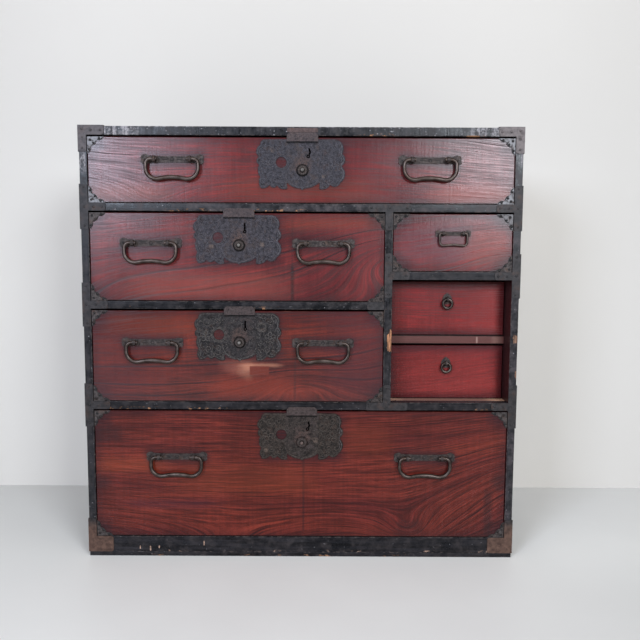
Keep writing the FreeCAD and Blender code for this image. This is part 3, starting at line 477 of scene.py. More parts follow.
def black_lacquer(node, seed, flakes=0.5, scars=(), scuffs=(), brush=(10.0, 60.0, 170.0), specks=0.5,
                  sheen=0.2, raw=TAN_WOOD, flaking=(), inside=None, grimy=GRIME, along=None):
    """The finish of one frame board. More flakes leave more bare wood; scars are patches where
    the lacquer is gone, scuffs are patches where it is scraped pale, and flaking says where the
    lower edge is bare. inside is the tone of the face that looks into the niche."""
    low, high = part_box(node)
    material, bench, shader = new_material("black_lacquer_" + node)
    place = bench.moved(seed, seed, 0.0)
    x, y, z = bench.split(bench.place())
    before = bench.fade(y, low.y + 0.02, low.y + 0.004)
    cloud = bench.noise(place, 9.0, 4.0)
    brushed = bench.noise(bench.stretch(place, *brush), 1.0, 4.0, 0.7)
    if along:
        behind = bench.noise(bench.stretch(place, *along), 1.0, 4.0, 0.7)
        brushed = bench.between(before, behind, brushed)
    grime = bench.noise(place, 55.0, 5.0, 0.7)
    ragged = bench.noise(place, 240.0, 4.0, 0.7)
    paint = bench.tint(bench.fade(cloud, 0.3, 0.7), BLACK_DEEP, BLACK_THIN)
    paint = bench.shade(paint, bench.fade(brushed, 0.3, 0.7), 0.4, 1.9)
    paint = bench.stain(paint, bench.fade(grime, 0.42, 0.75), bench.between(before, 0.28, 0.65), grimy)
    if inside:
        paint = bench.tint(bench.fade(x, low.x + 0.0009, low.x + 0.0003), paint, inside)
    edge = bench.use(edge_rub, "Mask", Low=low, High=high, Width=0.0026, Scale=130.0)
    paint = bench.stain(paint, edge, 0.8, WORN_EDGE)

    rare = 0.73 - 0.07 * specks
    fleck = bench.fade(bench.noise(bench.stretch(place, 210.0, 210.0, 260.0), 1.0, 3.0), rare, rare + 0.04)
    scraped = bench.times(fleck, bench.between(before, 0.3, 0.8))
    if scuffs:
        torn = bench.plus(bench.times(brushed, 0.55), bench.times(ragged, 0.45))
        torn = bench.times(covered(bench, scuffs), before, bench.fade(torn, 0.46, 0.60))
        scraped = bench.most(scraped, torn)
    paint = bench.tint(scraped, paint, PALE_SCUFF)

    under = bench.fade(bench.minus(z, low.z), 0.0068, 0.0015)
    loose = bench.noise(bench.stretch(place, 105.0, 105.0, 190.0), 1.0, 4.0, 0.6)
    if flaking:
        run = covered(bench, flaking)
    else:
        run = bench.fade(bench.noise(place, 12.0, 2.0), 0.62 - 0.25 * flakes, 0.70 - 0.2 * flakes)
    flake = bench.times(bench.fade(loose, 0.555, 0.60), under, run)
    rare = 0.80 - 0.05 * flakes
    bare = bench.most(flake, bench.fade(bench.noise(place, 95.0, 3.0), rare, rare + 0.03))
    if scars:
        torn = bench.times(bench.minus(ragged, 0.5), 1.5, before)
        torn = bench.plus(bench.times(covered(bench, scars), before), torn)
        bare = bench.most(bare, bench.fade(torn, 0.42, 0.52))
    splinter = bench.noise(bench.stretch(place, *[3.0 * number for number in brush]), 1.0, 4.0, 0.65)
    paint = bench.tint(bare, paint, bench.shade(raw, bench.fade(splinter, 0.3, 0.7), 0.12, 1.25))

    clean = bench.between(before, 0.36, 0.25)
    gloss = bench.between(bench.fade(grime, 0.35, 0.7), clean, bench.between(before, 0.46, 0.52))
    gloss = bench.between(bench.most(scraped, bare), gloss, 0.68)
    relief = bench.minus(bench.times(brushed, 0.5), bare)
    finish(bench, shader, paint, gloss, relief, strength=0.6, depth=0.0008)
    shader.inputs["Specular IOR Level"].default_value = sheen
    coat_with(node, material)


print("boards to paint:", sum(name.endswith(("_rail", "_board")) for name in nodes))

# %% [markdown]
# A patch is always given as its centre x and z, its half width and height, and how far it
# fades out on each axis. The large marks are where the photograph has them: scrapes on the
# edge of the top, bare wood on the partition and on the right stile, flaked lower edges of the
# rails, and a few knocks on the base.

# %% Frame boards
stile_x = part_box("right_side_board")[1].x
partition_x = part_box("partition_board")[1].x
top_low, top_high = (corner.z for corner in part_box("top_board"))
top_middle = (top_low + top_high) / 2
UPRIGHT = (150.0, 60.0, 12.0)


def lower_edge(rail, *runs):
    """Patches along the lower edge of a rail, each from its middle and half length."""
    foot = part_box(rail)[0].z + 0.003
    return [(x, foot, half, 0.004, 0.02, 0.004) for x, half in runs]


black_lacquer(
    "top_board", 0.3, 0.2, brush=UPRIGHT, specks=1.1, sheen=0.22, along=(7.0, 110.0, 60.0),
    scars=[(0.352, top_low, 0.010, 0.0004, 0.008, 0.0022)],
    scuffs=[(-0.389, top_middle, 0.012, 0.009, 0.007, 0.006),
            (-0.355, top_middle, 0.0, 0.009, 0.035, 0.009),
            (0.385, top_middle, 0.016, 0.009, 0.045, 0.009), (-0.30, top_high, 0.05, 0.0006, 0.06, 0.0022),
            (0.15, top_high, 0.20, 0.0004, 0.06, 0.0016)])
black_lacquer("bottom_board", 1.1, 0.3, sheen=0.12)
black_lacquer(
    "left_side_board", 2.7, 0.3, brush=UPRIGHT, specks=0.7,
    scuffs=[(-0.449, 0.833, 0.004, 0.010, 0.005, 0.018), (-0.4405, 0.40, 0.0003, 0.004, 0.0014, 0.02)])
black_lacquer(
    "right_side_board", 3.9, 0.3, brush=UPRIGHT, specks=0.7, raw=colour(0.21, 0.115, 0.075),
    inside=colour(0.028, 0.0090, 0.0098), grimy=colour(0.095, 0.076, 0.080),
    scars=[(stile_x - 0.005, 0.474, 0.001, 0.003, 0.007, 0.011),
           (stile_x - 0.001, 0.398, 0.0, 0.002, 0.005, 0.012)],
    scuffs=[(0.447, 0.845, 0.003, 0.006, 0.006, 0.014)])
black_lacquer(
    "partition_board", 4.2, 0.3, brush=UPRIGHT, raw=colour(0.42, 0.190, 0.095),
    scars=[(partition_x, 0.466, 0.0045, 0.004, 0.0085, 0.030)])
black_lacquer(
    "upper_rail", 5.4, 1.0, specks=0.6, sheen=0.24, grimy=colour(0.085, 0.066, 0.066),
    flaking=lower_edge("upper_rail", (-0.225, 0.045), (-0.05, 0.05)))
black_lacquer(
    "left_mid_rail", 6.6, 0.7, sheen=0.17, flaking=lower_edge("left_mid_rail", (-0.07, 0.02)))
black_lacquer("lower_rail", 7.1, 0.5, sheen=0.14)
black_lacquer("right_mid_rail", 8.3, 0.2, sheen=0.17)
black_lacquer(
    "base_rail", 9.5, 0.25, specks=0.35, sheen=0.12, raw=colour(0.42, 0.27, 0.20),
    scars=[(-0.324, 0.017, 0.0004, 0.003, 0.0022, 0.004), (-0.346, 0.019, 0.0003, 0.002, 0.0018, 0.004),
           (-0.208, 0.029, 0.0003, 0.003, 0.0018, 0.004), (-0.305, 0.020, 0.0003, 0.001, 0.0020, 0.004)])
print("black boards:", sum(m.name.startswith("black_lacquer") for m in bpy.data.materials))

# %% [markdown]
# ## Red lacquer on the drawers
# The drawer fronts are keyaki, a ring-porous elm, wiped with a clear red-brown lacquer that
# lets the grain show. The figure of each front was read off the photograph as a few swells:
# where its lines dip, where they arch and where they climb to one side. Around every iron the
# lacquer has gone dark, and knocks and old repairs have left their own patches.

# %% Red lacquer
LARGE_DRAWERS = ("top_drawer", "upper_left_drawer", "lower_left_drawer", "bottom_drawer")
DRAWERS = LARGE_DRAWERS + ("small_drawer", "niche_upper_drawer", "niche_lower_drawer")
BAILS = ("left_bail", "right_bail", "bail")
IRON_HALO = colour(0.017, 0.0062, 0.0090)
RIM_SHADE = colour(0.022, 0.0055, 0.0075)
GAP_SHADOW = colour(0.004, 0.003, 0.003)
RUBBED_RED = colour(0.17, 0.065, 0.045)
NICKED_RED = colour(0.26, 0.13, 0.08)


def middle_of(node):
    low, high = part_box(node)
    return (low + high) / 2


def iron_places(drawer):
    """Where the irons of a front lie, as patches."""
    low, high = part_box(drawer + "_front")
    places = []
    for bail in (drawer + "_" + hand for hand in BAILS):
        if bail in nodes:
            start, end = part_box(bail)
            half = (end.x - start.x) / 2
            places.append((start.x + half, end.z - 0.004, half, 0.006, 0.020, 0.020))
    if drawer in LARGE_DRAWERS:
        button = middle_of(drawer + "_lock_button")
        places.append((button.x, button.z + 0.011, 0.074, 0.038, 0.030, 0.030))
    if not drawer.startswith("niche"):
        for x in (low.x + 0.008, high.x - 0.008):
            for z in (low.z + 0.008, high.z - 0.008):
                places.append((x, z, 0.008, 0.008, 0.034, 0.034))
    return places


def red_lacquer(drawer, seed, deep, warm, spacing, swells, patches=(), tilt=0.0, figure=0.85, even=0.4,
                sheen=0.36, bold=(), painted_rim=0.45, fibre=0.48, calm=()):
    """The finish of one drawer front. A swell is (centre x, centre z, spread x, spread z, lift);
    a patch is its colour, its strength and its place. bold holds the heights at which single lines
    stand out, and calm the places where few do."""
    front = drawer + "_front"
    low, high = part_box(front)
    material, bench, shader = new_material("red_lacquer_" + drawer)
    place = bench.place()
    x, y, z = bench.split(place)
    height = bench.plus(z, bench.plus(bench.times(x, tilt), bench.times(y, 0.4)))
    for swell in swells:
        height = bench.use(grain_swell, "Height", Height=height, **dict(zip(SWELL, swell)))
    lines = bench.use(keyaki_grain, "Lines", Height=height, Spacing=spacing, Even=even, Seed=seed)
    grain = lines.node.outputs
    lines = bench.times(lines, figure)
    if calm:
        lines = bench.times(lines, bench.between(covered(bench, calm), 1.0, 0.45))
    for level in bold:
        apart = bench.away(grain["Flow"], level + low.y * 0.4)
        lines = bench.most(lines, bench.times(bench.fade(apart, 0.0031, 0.0007), 0.9))
    fibres = bench.fade(grain["Pores"], 0.32, 0.68)
    broad = bench.noise(bench.moved(seed, 0.0, 0.0), 5.0, 3.0)
    dust = bench.noise(place, 480.0, 2.0)
    wiped = bench.noise(bench.stretch(place, 190.0, 1.0, 9.0), 1.0, 3.0)
    red = bench.tint(bench.fade(grain["Tone"], 0.15, 0.85), deep, warm)
    red = bench.shade(red, bench.fade(broad, 0.3, 0.7), 0.82, 1.18)
    red = bench.shade(red, fibres, 1.0 - fibre, 1.0 + fibre)
    red = bench.shade(red, bench.fade(dust, 0.25, 0.75), 0.82, 1.18)
    red = bench.shade(red, bench.fade(wiped, 0.25, 0.75), 0.88, 1.12)
    late_wood = colour(deep[0] * 0.34, deep[1] * 0.46, deep[2] * 0.52)
    red = bench.tint(bench.least(lines, 0.9), red, late_wood)
    for iron_place in iron_places(drawer):
        red = bench.stain(red, covered(bench, [iron_place]), 0.68, IRON_HALO)
    for tone, strength, *spot in patches:
        red = bench.stain(red, covered(bench, [spot]), strength, tone)

    # Painted shade: each front is painted darker along its rim, most of all in the niche.
    inset_x = bench.least(bench.minus(x, low.x), bench.minus(high.x, x))
    inset_z = bench.least(bench.minus(z, low.z), bench.minus(high.z, z))
    inset = bench.times(bench.least(inset_x, inset_z), bench.between(broad, 0.6, 1.4))
    red = bench.stain(red, bench.fade(inset, 0.022, 0.0), painted_rim, RIM_SHADE)
    # Painted shadow: a black line along the bottom edge stands for the shaded gap below the drawer.
    red = bench.stain(red, bench.fade(bench.minus(z, low.z), 0.0030, 0.0010), 0.9, GAP_SHADOW)
    edge = bench.use(edge_rub, "Mask", Low=low, High=high, Width=0.0022, Scale=120.0)
    red = bench.stain(red, edge, 0.5, RUBBED_RED)
    nick = bench.fade(bench.noise(bench.moved(0.0, seed, 0.0), 120.0, 2.0), 0.80, 0.83)
    red = bench.stain(red, nick, 0.6, NICKED_RED)

    worn = bench.plus(bench.times(fibres, 0.5), bench.times(dust, 0.6))
    gloss = bench.between(bench.fade(worn, 0.2, 0.9), 0.29, 0.17)
    ends = bench.fade(bench.away(x), 0.20, 0.36)
    gloss = bench.plus(gloss, bench.times(lines, bench.between(ends, 0.03, 0.24)))
    gloss = bench.between(bench.fade(broad, 0.35, 0.75), gloss, bench.plus(gloss, 0.05))
    relief = bench.plus(bench.times(dust, 0.35), bench.times(wiped, 0.45))
    relief = bench.plus(relief, bench.times(fibres, 0.08))
    relief = bench.minus(relief, bench.times(lines, 0.22))
    finish(bench, shader, red, gloss, relief, strength=0.38, depth=0.0006)
    shader.inputs["Specular IOR Level"].default_value = sheen
    coat_with(front, material)


print("irons on the top drawer:", len(iron_places("top_drawer")))

# %% [markdown]
# The upper drawers are plum, the lower ones brick. Each patch is its colour, its strength and
# then its place: centre, half sizes and reaches. Orange and rose are lacquer worn thin, violet
# and soot are handling and smoke. The ember and orange at the lower ends of the top drawer are a
# painted shade on its sheen, the dusky patch on the small drawer is a painted sheen, and the pale
# patch on the upper niche drawer is painted light. The pale scar with the raw red block beside it
# is an old repair on the lower left drawer.

# %% Red fronts
PLUM = colour(0.066, 0.0085, 0.0108), colour(0.138, 0.0210, 0.0195)
BRICK = colour(0.052, 0.0070, 0.0072), colour(0.132, 0.0200, 0.0118)
SOOT = colour(0.016, 0.007, 0.008)
PALE_SCAR = colour(0.40, 0.165, 0.100)
SORE = colour(0.260, 0.080, 0.054)
RAW_RED = colour(0.118, 0.019, 0.0115)
ORANGE = colour(0.22, 0.042, 0.016)
EMBER = colour(0.215, 0.027, 0.012)
VIOLET = colour(0.050, 0.0100, 0.0155)
DUSKY = colour(0.125, 0.034, 0.046)
ROSE = colour(0.230, 0.060, 0.042)

red_lacquer(
    "top_drawer", 0.7, *PLUM, 0.0070,
    [(-0.30, 0.745, 0.10, 0.06, 0.055), (0.10, 0.70, 0.20, 0.08, 0.02), (0.50, 0.84, 0.2, 0.1, 0.03)],
    [(VIOLET, 0.3, 0.16, 0.82, 0.05, 0.06, 0.08, 0.06),
     # The ember and orange at the lower ends are a painted shade on the sheen: deeper red where it fades.
     (EMBER, 0.55, 0.37, 0.768, 0.05, 0.004, 0.08, 0.03),
     (ORANGE, 0.35, -0.37, 0.768, 0.05, 0.004, 0.08, 0.03),
     (ORANGE, 0.2, 0.0, 0.775, 0.10, 0.01, 0.12, 0.04)],
    tilt=0.02, figure=1.0, even=0.55, sheen=0.35, calm=[(0.0, 0.82, 0.12, 0.08, 0.12, 0.05)])
red_lacquer(
    "upper_left_drawer", 2.1, *PLUM, 0.0095,
    [(-0.45, 0.55, 0.06, 0.05, 0.05), (0.215, 0.635, 0.13, 0.062, -0.16)],
    [(SOOT, 0.8, -0.018, 0.585, 0.0006, 0.035, 0.005, 0.010),
     (SOOT, 0.4, -0.018, 0.66, 0.0004, 0.06, 0.004, 0.004),
     (ROSE, 0.34, -0.20, 0.58, 0.10, 0.01, 0.12, 0.04),
     (ORANGE, 0.25, 0.06, 0.715, 0.05, 0.004, 0.08, 0.02)],
    tilt=-0.05, figure=0.7, sheen=0.44, bold=(0.631, 0.586),
    calm=[(-0.15, 0.575, 0.12, 0.02, 0.10, 0.02), (0.13, 0.69, 0.04, 0.02, 0.05, 0.03)])
red_lacquer(
    "lower_left_drawer", 3.6, *BRICK, 0.0085,
    [(0.0, 0.370, 0.10, 0.042, -0.066), (-0.44, 0.50, 0.10, 0.06, 0.03), (0.26, 0.44, 0.14, 0.10, -0.09)],
    [(VIOLET, 0.5, 0.14, 0.45, 0.03, 0.05, 0.11, 0.10),
     (VIOLET, 0.34, -0.41, 0.43, 0.03, 0.07, 0.13, 0.06),
     (EMBER, 0.42, -0.100, 0.370, 0.05, 0.008, 0.07, 0.030),
     (ORANGE, 0.2, -0.30, 0.50, 0.06, 0.01, 0.08, 0.02),
     (SORE, 0.45, -0.124, 0.4140, 0.004, 0.003, 0.060, 0.019),
     (PALE_SCAR, 0.36, -0.117, 0.4050, 0.001, 0.001, 0.026, 0.026),
     (PALE_SCAR, 0.5, -0.086, 0.4165, 0.024, 0.0002, 0.034, 0.0060),
     (PALE_SCAR, 0.4, -0.111, 0.4120, 0.002, 0.002, 0.014, 0.009),
     (RAW_RED, 0.95, -0.0875, 0.4050, 0.0195, 0.0085, 0.0015, 0.0018),
     (SOOT, 0.4, -0.012, 0.385, 0.0004, 0.04, 0.004, 0.004)],
    tilt=0.05, figure=1.0, even=0.6, sheen=0.40, bold=(0.337, 0.362, 0.400),
    calm=[(-0.36, 0.40, 0.08, 0.04, 0.14, 0.05), (0.0, 0.358, 0.03, 0.006, 0.03, 0.015)])
red_lacquer(
    "bottom_drawer", 5.2, *BRICK, 0.0078,
    [(0.234, 0.060, 0.070, 0.050, 0.068), (0.47, 0.16, 0.13, 0.12, -0.10),
     (-0.16, 0.02, 0.14, 0.055, 0.075)],
    [(SOOT, 0.5, 0.006, 0.15, 0.0004, 0.09, 0.004, 0.004),
     (SOOT, 0.55, -0.415, 0.268, 0.020, 0.006, 0.03, 0.02),
     (SOOT, 0.5, -0.428, 0.16, 0.008, 0.003, 0.02, 0.02),
     (SOOT, 0.55, 0.428, 0.167, 0.008, 0.008, 0.02, 0.02),
     (SOOT, 0.5, 0.402, 0.095, 0.002, 0.045, 0.012, 0.02),
     (SOOT, 0.4, 0.236, 0.066, 0.018, 0.008, 0.022, 0.014),
     (ORANGE, 0.22, -0.12, 0.17, 0.09, 0.015, 0.10, 0.03),
     (ORANGE, 0.3, -0.36, 0.20, 0.04, 0.004, 0.06, 0.02),
     (ORANGE, 0.2, 0.14, 0.26, 0.02, 0.01, 0.06, 0.04),
     (VIOLET, 0.5, -0.28, 0.115, 0.06, 0.003, 0.07, 0.014)],
    tilt=0.01, figure=1.0, even=0.8, sheen=0.18, calm=[(-0.38, 0.20, 0.04, 0.08, 0.08, 0.06)])
red_lacquer(
    "small_drawer", 6.8, *PLUM, 0.0065, [(0.42, 0.66, 0.10, 0.08, -0.025), (0.25, 0.60, 0.12, 0.06, 0.02)],
    [(EMBER, 0.32, 0.385, 0.665, 0.025, 0.015, 0.05, 0.035),
     # The dusky patch is a painted sheen on the left of the front.
     (DUSKY, 0.40, 0.27, 0.672, 0.04, 0.02, 0.07, 0.04)]
    + [(SOOT, 0.45, x, z, 0.012, 0.008, 0.055, 0.040) for x in (0.192, 0.437) for z in (0.616, 0.734)],
    tilt=-0.04, sheen=0.44)
print("red fronts:", sum(m.name.startswith("red_lacquer") for m in bpy.data.materials))

# %% [markdown]
# The two drawers inside the niche stand further back, out of the light, so their lacquer is a
# clearer red, with fine straight grain.

# %% Niche red
NICHE = colour(0.108, 0.0110, 0.0120), colour(0.190, 0.0210, 0.0195)
red_lacquer(
    "niche_upper_drawer", 8.1, *NICHE, 0.0065, [(0.40, 0.50, 0.2, 0.1, 0.012)],
    # This paler patch at the right end is painted light over the shaded rim.
    [(colour(0.30, 0.036, 0.033), 0.42, 0.425, 0.535, 0.0, 0.05, 0.11, 0.06)],
    tilt=-0.02, figure=0.7, even=0.5, sheen=0.31, painted_rim=0.7, fibre=0.4)
red_lacquer(
    "niche_lower_drawer", 9.4, *NICHE, 0.0065, [(0.25, 0.36, 0.2, 0.1, 0.015)],
    [(colour(0.25, 0.028, 0.022), 0.28, 0.33, 0.40, 0.06, 0.03, 0.09, 0.06),
     (VIOLET, 0.38, 0.31, 0.455, 0.13, 0.002, 0.02, 0.035)],
    tilt=-0.09, figure=0.8, even=0.5, sheen=0.23, painted_rim=0.7, fibre=0.42)
print("all red fronts:", sum(m.name.startswith("red_lacquer") for m in bpy.data.materials))

# %% [markdown]
# ## Bare wood inside and behind
# The drawer boxes, the dust boards and the back were never lacquered. They are straight-grained
# softwood, paler inside the drawers and browner on the back, where dust and smoke reached it.
# The niche shelf is stained and rubbed dull, and the sill below it is worn pale at both ends.

# %% Bare wood
BOX_WOOD = colour(0.235, 0.135, 0.068), colour(0.360, 0.230, 0.125)
JOINT_AND_GAP_SHADE = colour(0.008, 0.004, 0.004)


def plain_board(node, seed, dark, pale, spacing, along, smooth, patches=()):
    """An unpainted or thinly stained board. along is the way that its rings are counted, and
    smooth the roughness of its smoothest places."""
    low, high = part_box(node)
    material, bench, shader = new_material("wood_" + node)
    x, y, z = (bench.times(axis, share) for axis, share in zip(bench.split(bench.place()), along))
    height = bench.plus(x, bench.plus(y, z))
    lines = bench.use(keyaki_grain, "Lines", Height=height, Spacing=spacing, Seed=seed)
    grain = lines.node.outputs
    wood = bench.tint(grain["Tone"], dark, pale)
    wood = bench.shade(wood, grain["Pores"], 0.7, 1.3)
    wood = bench.stain(wood, lines, 0.6, bench.shade(dark, lines, 0.7, 0.5))
    smudge = bench.noise(bench.moved(seed, 0.0, seed), 6.0, 5.0)
    wood = bench.shade(wood, bench.fade(smudge, 0.5, 0.8), 1.0, 0.7)
    edge = bench.use(edge_rub, "Mask", Low=low, High=high, Width=0.002, Scale=60.0)
    wood = bench.stain(wood, edge, 0.5, TAN_WOOD)
    for tone, strength, *spot in patches:
        wood = bench.stain(wood, covered(bench, [spot]), strength, tone)
    shader.inputs["Specular IOR Level"].default_value = 0.2
    rough = bench.between(grain["Pores"], smooth, smooth + 0.2)
    finish(bench, shader, wood, rough, grain["Pores"], strength=0.25, depth=0.0007)
    coat_with(node, material)


shelf_low, shelf_high = (corner.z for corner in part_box("niche_shelf"))
plain_board(
    "niche_shelf", 1.7, colour(0.082, 0.028, 0.024), colour(0.124, 0.045, 0.037),
    0.006, (0.0, 0.3, 1.0), 0.4,
    # Painted shadow: dark lines along the top and bottom edges of the shelf front stand for the gaps.
    [(JOINT_AND_GAP_SHADE, 0.9, 0.31, edge_z, 0.2, 0.0012, 0.01, 0.0012) for edge_z in (shelf_high, shelf_low)]
    + [(colour(0.30, 0.18, 0.15), 0.8, 0.381, shelf_low + 0.009, 0.0006, 0.005, 0.002, 0.003),
       (colour(0.20, 0.10, 0.08), 0.7, 0.425, shelf_low + 0.009, 0.004, 0.005, 0.012, 0.004)])
for number, drawer in enumerate(DRAWERS):
    plain_board(drawer + "_box", 11.0 + number, *BOX_WOOD, 0.009, (0.25, 0.12, 1.0), 0.5)
sill_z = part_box("lower_rail")[1].z
plain_board(
    "dust_boards", 21.0, colour(0.150, 0.080, 0.045), colour(0.250, 0.150, 0.085),
    0.011, (0.12, 0.0, 1.0), 0.5,
    [(colour(0.230, 0.125, 0.100), 0.9, 0.314, sill_z, 0.125, 0.004, 0.004, 0.002),
     (colour(0.48, 0.29, 0.21), 0.9, 0.194, sill_z, 0.008, 0.004, 0.022, 0.003),
     (colour(0.48, 0.29, 0.19), 0.9, 0.432, sill_z, 0.008, 0.004, 0.036, 0.003)])
plain_board("bottom_runners", 22.0, *BOX_WOOD, 0.008, (1.0, 0.0, 0.6), 0.5)

BACK_BOARDS = 4
BOARD_TONES = {0: colour(0.085, 0.048, 0.028), 2: colour(0.27, 0.165, 0.092), 3: colour(0.13, 0.074, 0.045)}
back_low, back_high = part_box("back_boards")
board_height = (back_high.z - back_low.z) / BACK_BOARDS
tones = [(tone, 0.4, 0.0, back_low.z + board_height * (number + 0.5), 0.5, board_height * 0.49, 0.01, 0.002)
         for number, tone in BOARD_TONES.items()]
joints = [(JOINT_AND_GAP_SHADE, 0.9, 0.0, back_low.z + board_height * number, 0.5, 0.0004, 0.01, 0.0018)
          for number in range(1, BACK_BOARDS)]
plain_board(
    "back_boards", 23.0, colour(0.120, 0.066, 0.036), colour(0.225, 0.132, 0.072),
    0.012, (0.02, 0.3, 1.0), 0.55, tones + joints)
print("bare wood pieces:", sum(m.name.startswith("wood_") for m in bpy.data.materials))

# %% [markdown]
# ## Forged iron
# The irons are black from the forge fire and the lacquer that was burned on to them. Straps have
# browned, most of all near the floor, and are painted lighter at the upper corners; the corner
# plates of the top drawer carry a painted highlight.

# %% Iron finishes
RUST = colour(0.085, 0.042, 0.026)
BRIGHT_SPECK = colour(0.150, 0.132, 0.118)


def iron(name, scale, dark, pale, rust_share, gloss, specks=0.0):
    """A blackened iron. Its bench and unfinished colour come back, for marks of its own."""
    material, bench, shader = new_material(name)
    tone = bench.use(forge_marks, "Tone", Scale=scale, Seed=len(name) * 0.37)
    marks = tone.node.outputs
    base = bench.tint(bench.fade(tone, 0.3, 0.7), dark, pale)
    base = bench.stain(base, marks["Rust"], rust_share, RUST)
    # Bright specks are painted into the colour: partly worn bright metal, partly painted glints.
    if specks:
        bright = bench.fade(bench.noise(bench.place(), 430.0, 3.0, 0.7), 0.52, 0.70)
        base = bench.stain(base, bright, specks, BRIGHT_SPECK)
    shader.inputs["Metallic"].default_value = 0.45
    shader.inputs["Specular IOR Level"].default_value = 0.35
    return material, bench, shader, base, bench.between(tone, gloss, gloss + 0.2), marks


def plain_iron(*look, strength, depth, metallic=0.45):
    """An iron with no marks of its own."""
    material, bench, shader, base, rough, marks = iron(*look)
    shader.inputs["Metallic"].default_value = metallic
    finish(bench, shader, base, rough, marks["Height"], strength=strength, depth=depth)
    return material


strike_iron = plain_iron("strike_iron", 160.0, colour(0.045, 0.028, 0.026), colour(0.095, 0.062, 0.058),
                         0.4, 0.5, 0.15, strength=0.3, depth=0.0006)
bail_iron = plain_iron("bail_iron", 70.0, colour(0.040, 0.030, 0.026), colour(0.102, 0.080, 0.071),
                       0.2, 0.30, strength=0.08, depth=0.0005, metallic=1.0)
nail_iron = plain_iron("nail_iron", 240.0, colour(0.0055, 0.0050, 0.0054), colour(0.018, 0.0160, 0.0160),
                       0.2, 0.36, strength=0.2, depth=0.0004)

strap_iron, bench, shader, base, rough, marks = iron(
    "strap_iron", 110.0, colour(0.0130, 0.0116, 0.0122), colour(0.036, 0.031, 0.0315), 0.28, 0.42, 0.12)
x, y, z = bench.split(bench.place())
# The upper corners are painted lighter, the right one fully and the left at half strength.
top = bench.fade(z, 0.82, 0.86)
right = bench.times(bench.fade(x, 0.36, 0.42), top)
left = bench.times(bench.fade(x, -0.36, -0.42), top, 0.5)
upper_corner_tone = bench.tint(bench.fade(marks["Tone"], 0.3, 0.6),
                    colour(0.060, 0.048, 0.047), colour(0.150, 0.125, 0.122))
base = bench.stain(base, bench.most(right, left), 0.75, upper_corner_tone)
damp = bench.fade(z, 0.085, 0.055)
browned = bench.tint(bench.fade(marks["Tone"], 0.25, 0.75),
                     colour(0.060, 0.032, 0.024), colour(0.150, 0.084, 0.060))
base = bench.stain(base, damp, 0.9, browned)
rough = bench.between(damp, rough, 0.7)
finish(bench, shader, base, rough, marks["Height"], strength=0.4, depth=0.0008)

plate_iron, bench, shader, base, rough, marks = iron(
    "plate_iron", 150.0, colour(0.0160, 0.0122, 0.0115), colour(0.060, 0.0465, 0.0430), 0.4, 0.46, 0.5)
shader.inputs["Specular IOR Level"].default_value = 0.2
x, y, z = bench.split(bench.place())
# Painted highlight: the corner plates of the top drawer, and more faintly the upper right plate of the
# small drawer, are painted pale.
high = bench.fade(z, 0.745, 0.755)
right = bench.times(bench.fade(x, 0.400, 0.404), bench.fade(z, 0.69, 0.70), 0.6)
ends = bench.fade(bench.away(x), 0.396, 0.400)
painted_shine = bench.times(ends, bench.between(bench.most(high, right), 0.08, 1.0))
base = bench.stain(base, painted_shine, bench.fade(marks["Tone"], 0.30, 0.60), colour(0.200, 0.194, 0.200))
finish(bench, shader, base, rough, marks["Height"], strength=0.35, depth=0.0006)

IRON_ENDINGS = {"_straps": strap_iron, "_bail": bail_iron, "_ring": bail_iron, "_bolt": bail_iron,
                "_face_plates": plate_iron, "_ring_mount": plate_iron}
for name in nodes:
    for ending, material in IRON_ENDINGS.items():
        if name.endswith(ending):
            coat_with(name, material)
print("iron finishes: strap, strike, bail, plate and nail")

# %% [markdown]
# The four locks differ. The upper two have stayed blue-black and almost even; the lower two have
# gone brown, and their raised parts carry many small bright specks, worn bright metal together
# with painted glints. On each, a painted shadow lies under the guard, dirt has gathered around the
# button, its collar is painted dark as dirt and shade, the right-hand rim has a painted highlight,
# and the inside of the lock is painted black as shade. All of this is placed by distances from the
# button, in millimetres. A lock is given as three tones (dark, pale and raised), how many bright
# specks it has, and two brown spots (centre and size).

# %% Lock iron
LOCKS = {
    "top_drawer": (
        colour(0.0275, 0.0258, 0.0318), colour(0.090, 0.083, 0.098), colour(0.070, 0.065, 0.075), 0.14,
        ((-62, 40, 4, 5), (44, -12, 4, 3))),
    "upper_left_drawer": (
        colour(0.0290, 0.0264, 0.0320), colour(0.091, 0.082, 0.096), colour(0.076, 0.069, 0.078), 0.20,
        ((-57, -3, 5, 4), (48, 2, 5, 5))),
    "lower_left_drawer": (
        colour(0.0098, 0.0086, 0.0096), colour(0.054, 0.0470, 0.0485), colour(0.090, 0.079, 0.072), 0.75,
        ((-71, 18, 3, 8), (50, 26, 5, 4))),
    "bottom_drawer": (
        colour(0.0160, 0.0125, 0.0110), colour(0.068, 0.0510, 0.0430), colour(0.068, 0.052, 0.042), 0.32,
        ((-76, -18, 4, 4), (28, 4, 6, 5))),
}
GREY_BUTTON = colour(0.066, 0.058, 0.052), colour(0.170, 0.152, 0.138)
BROWN_BUTTON = colour(0.095, 0.061, 0.052), colour(0.110, 0.075, 0.064)


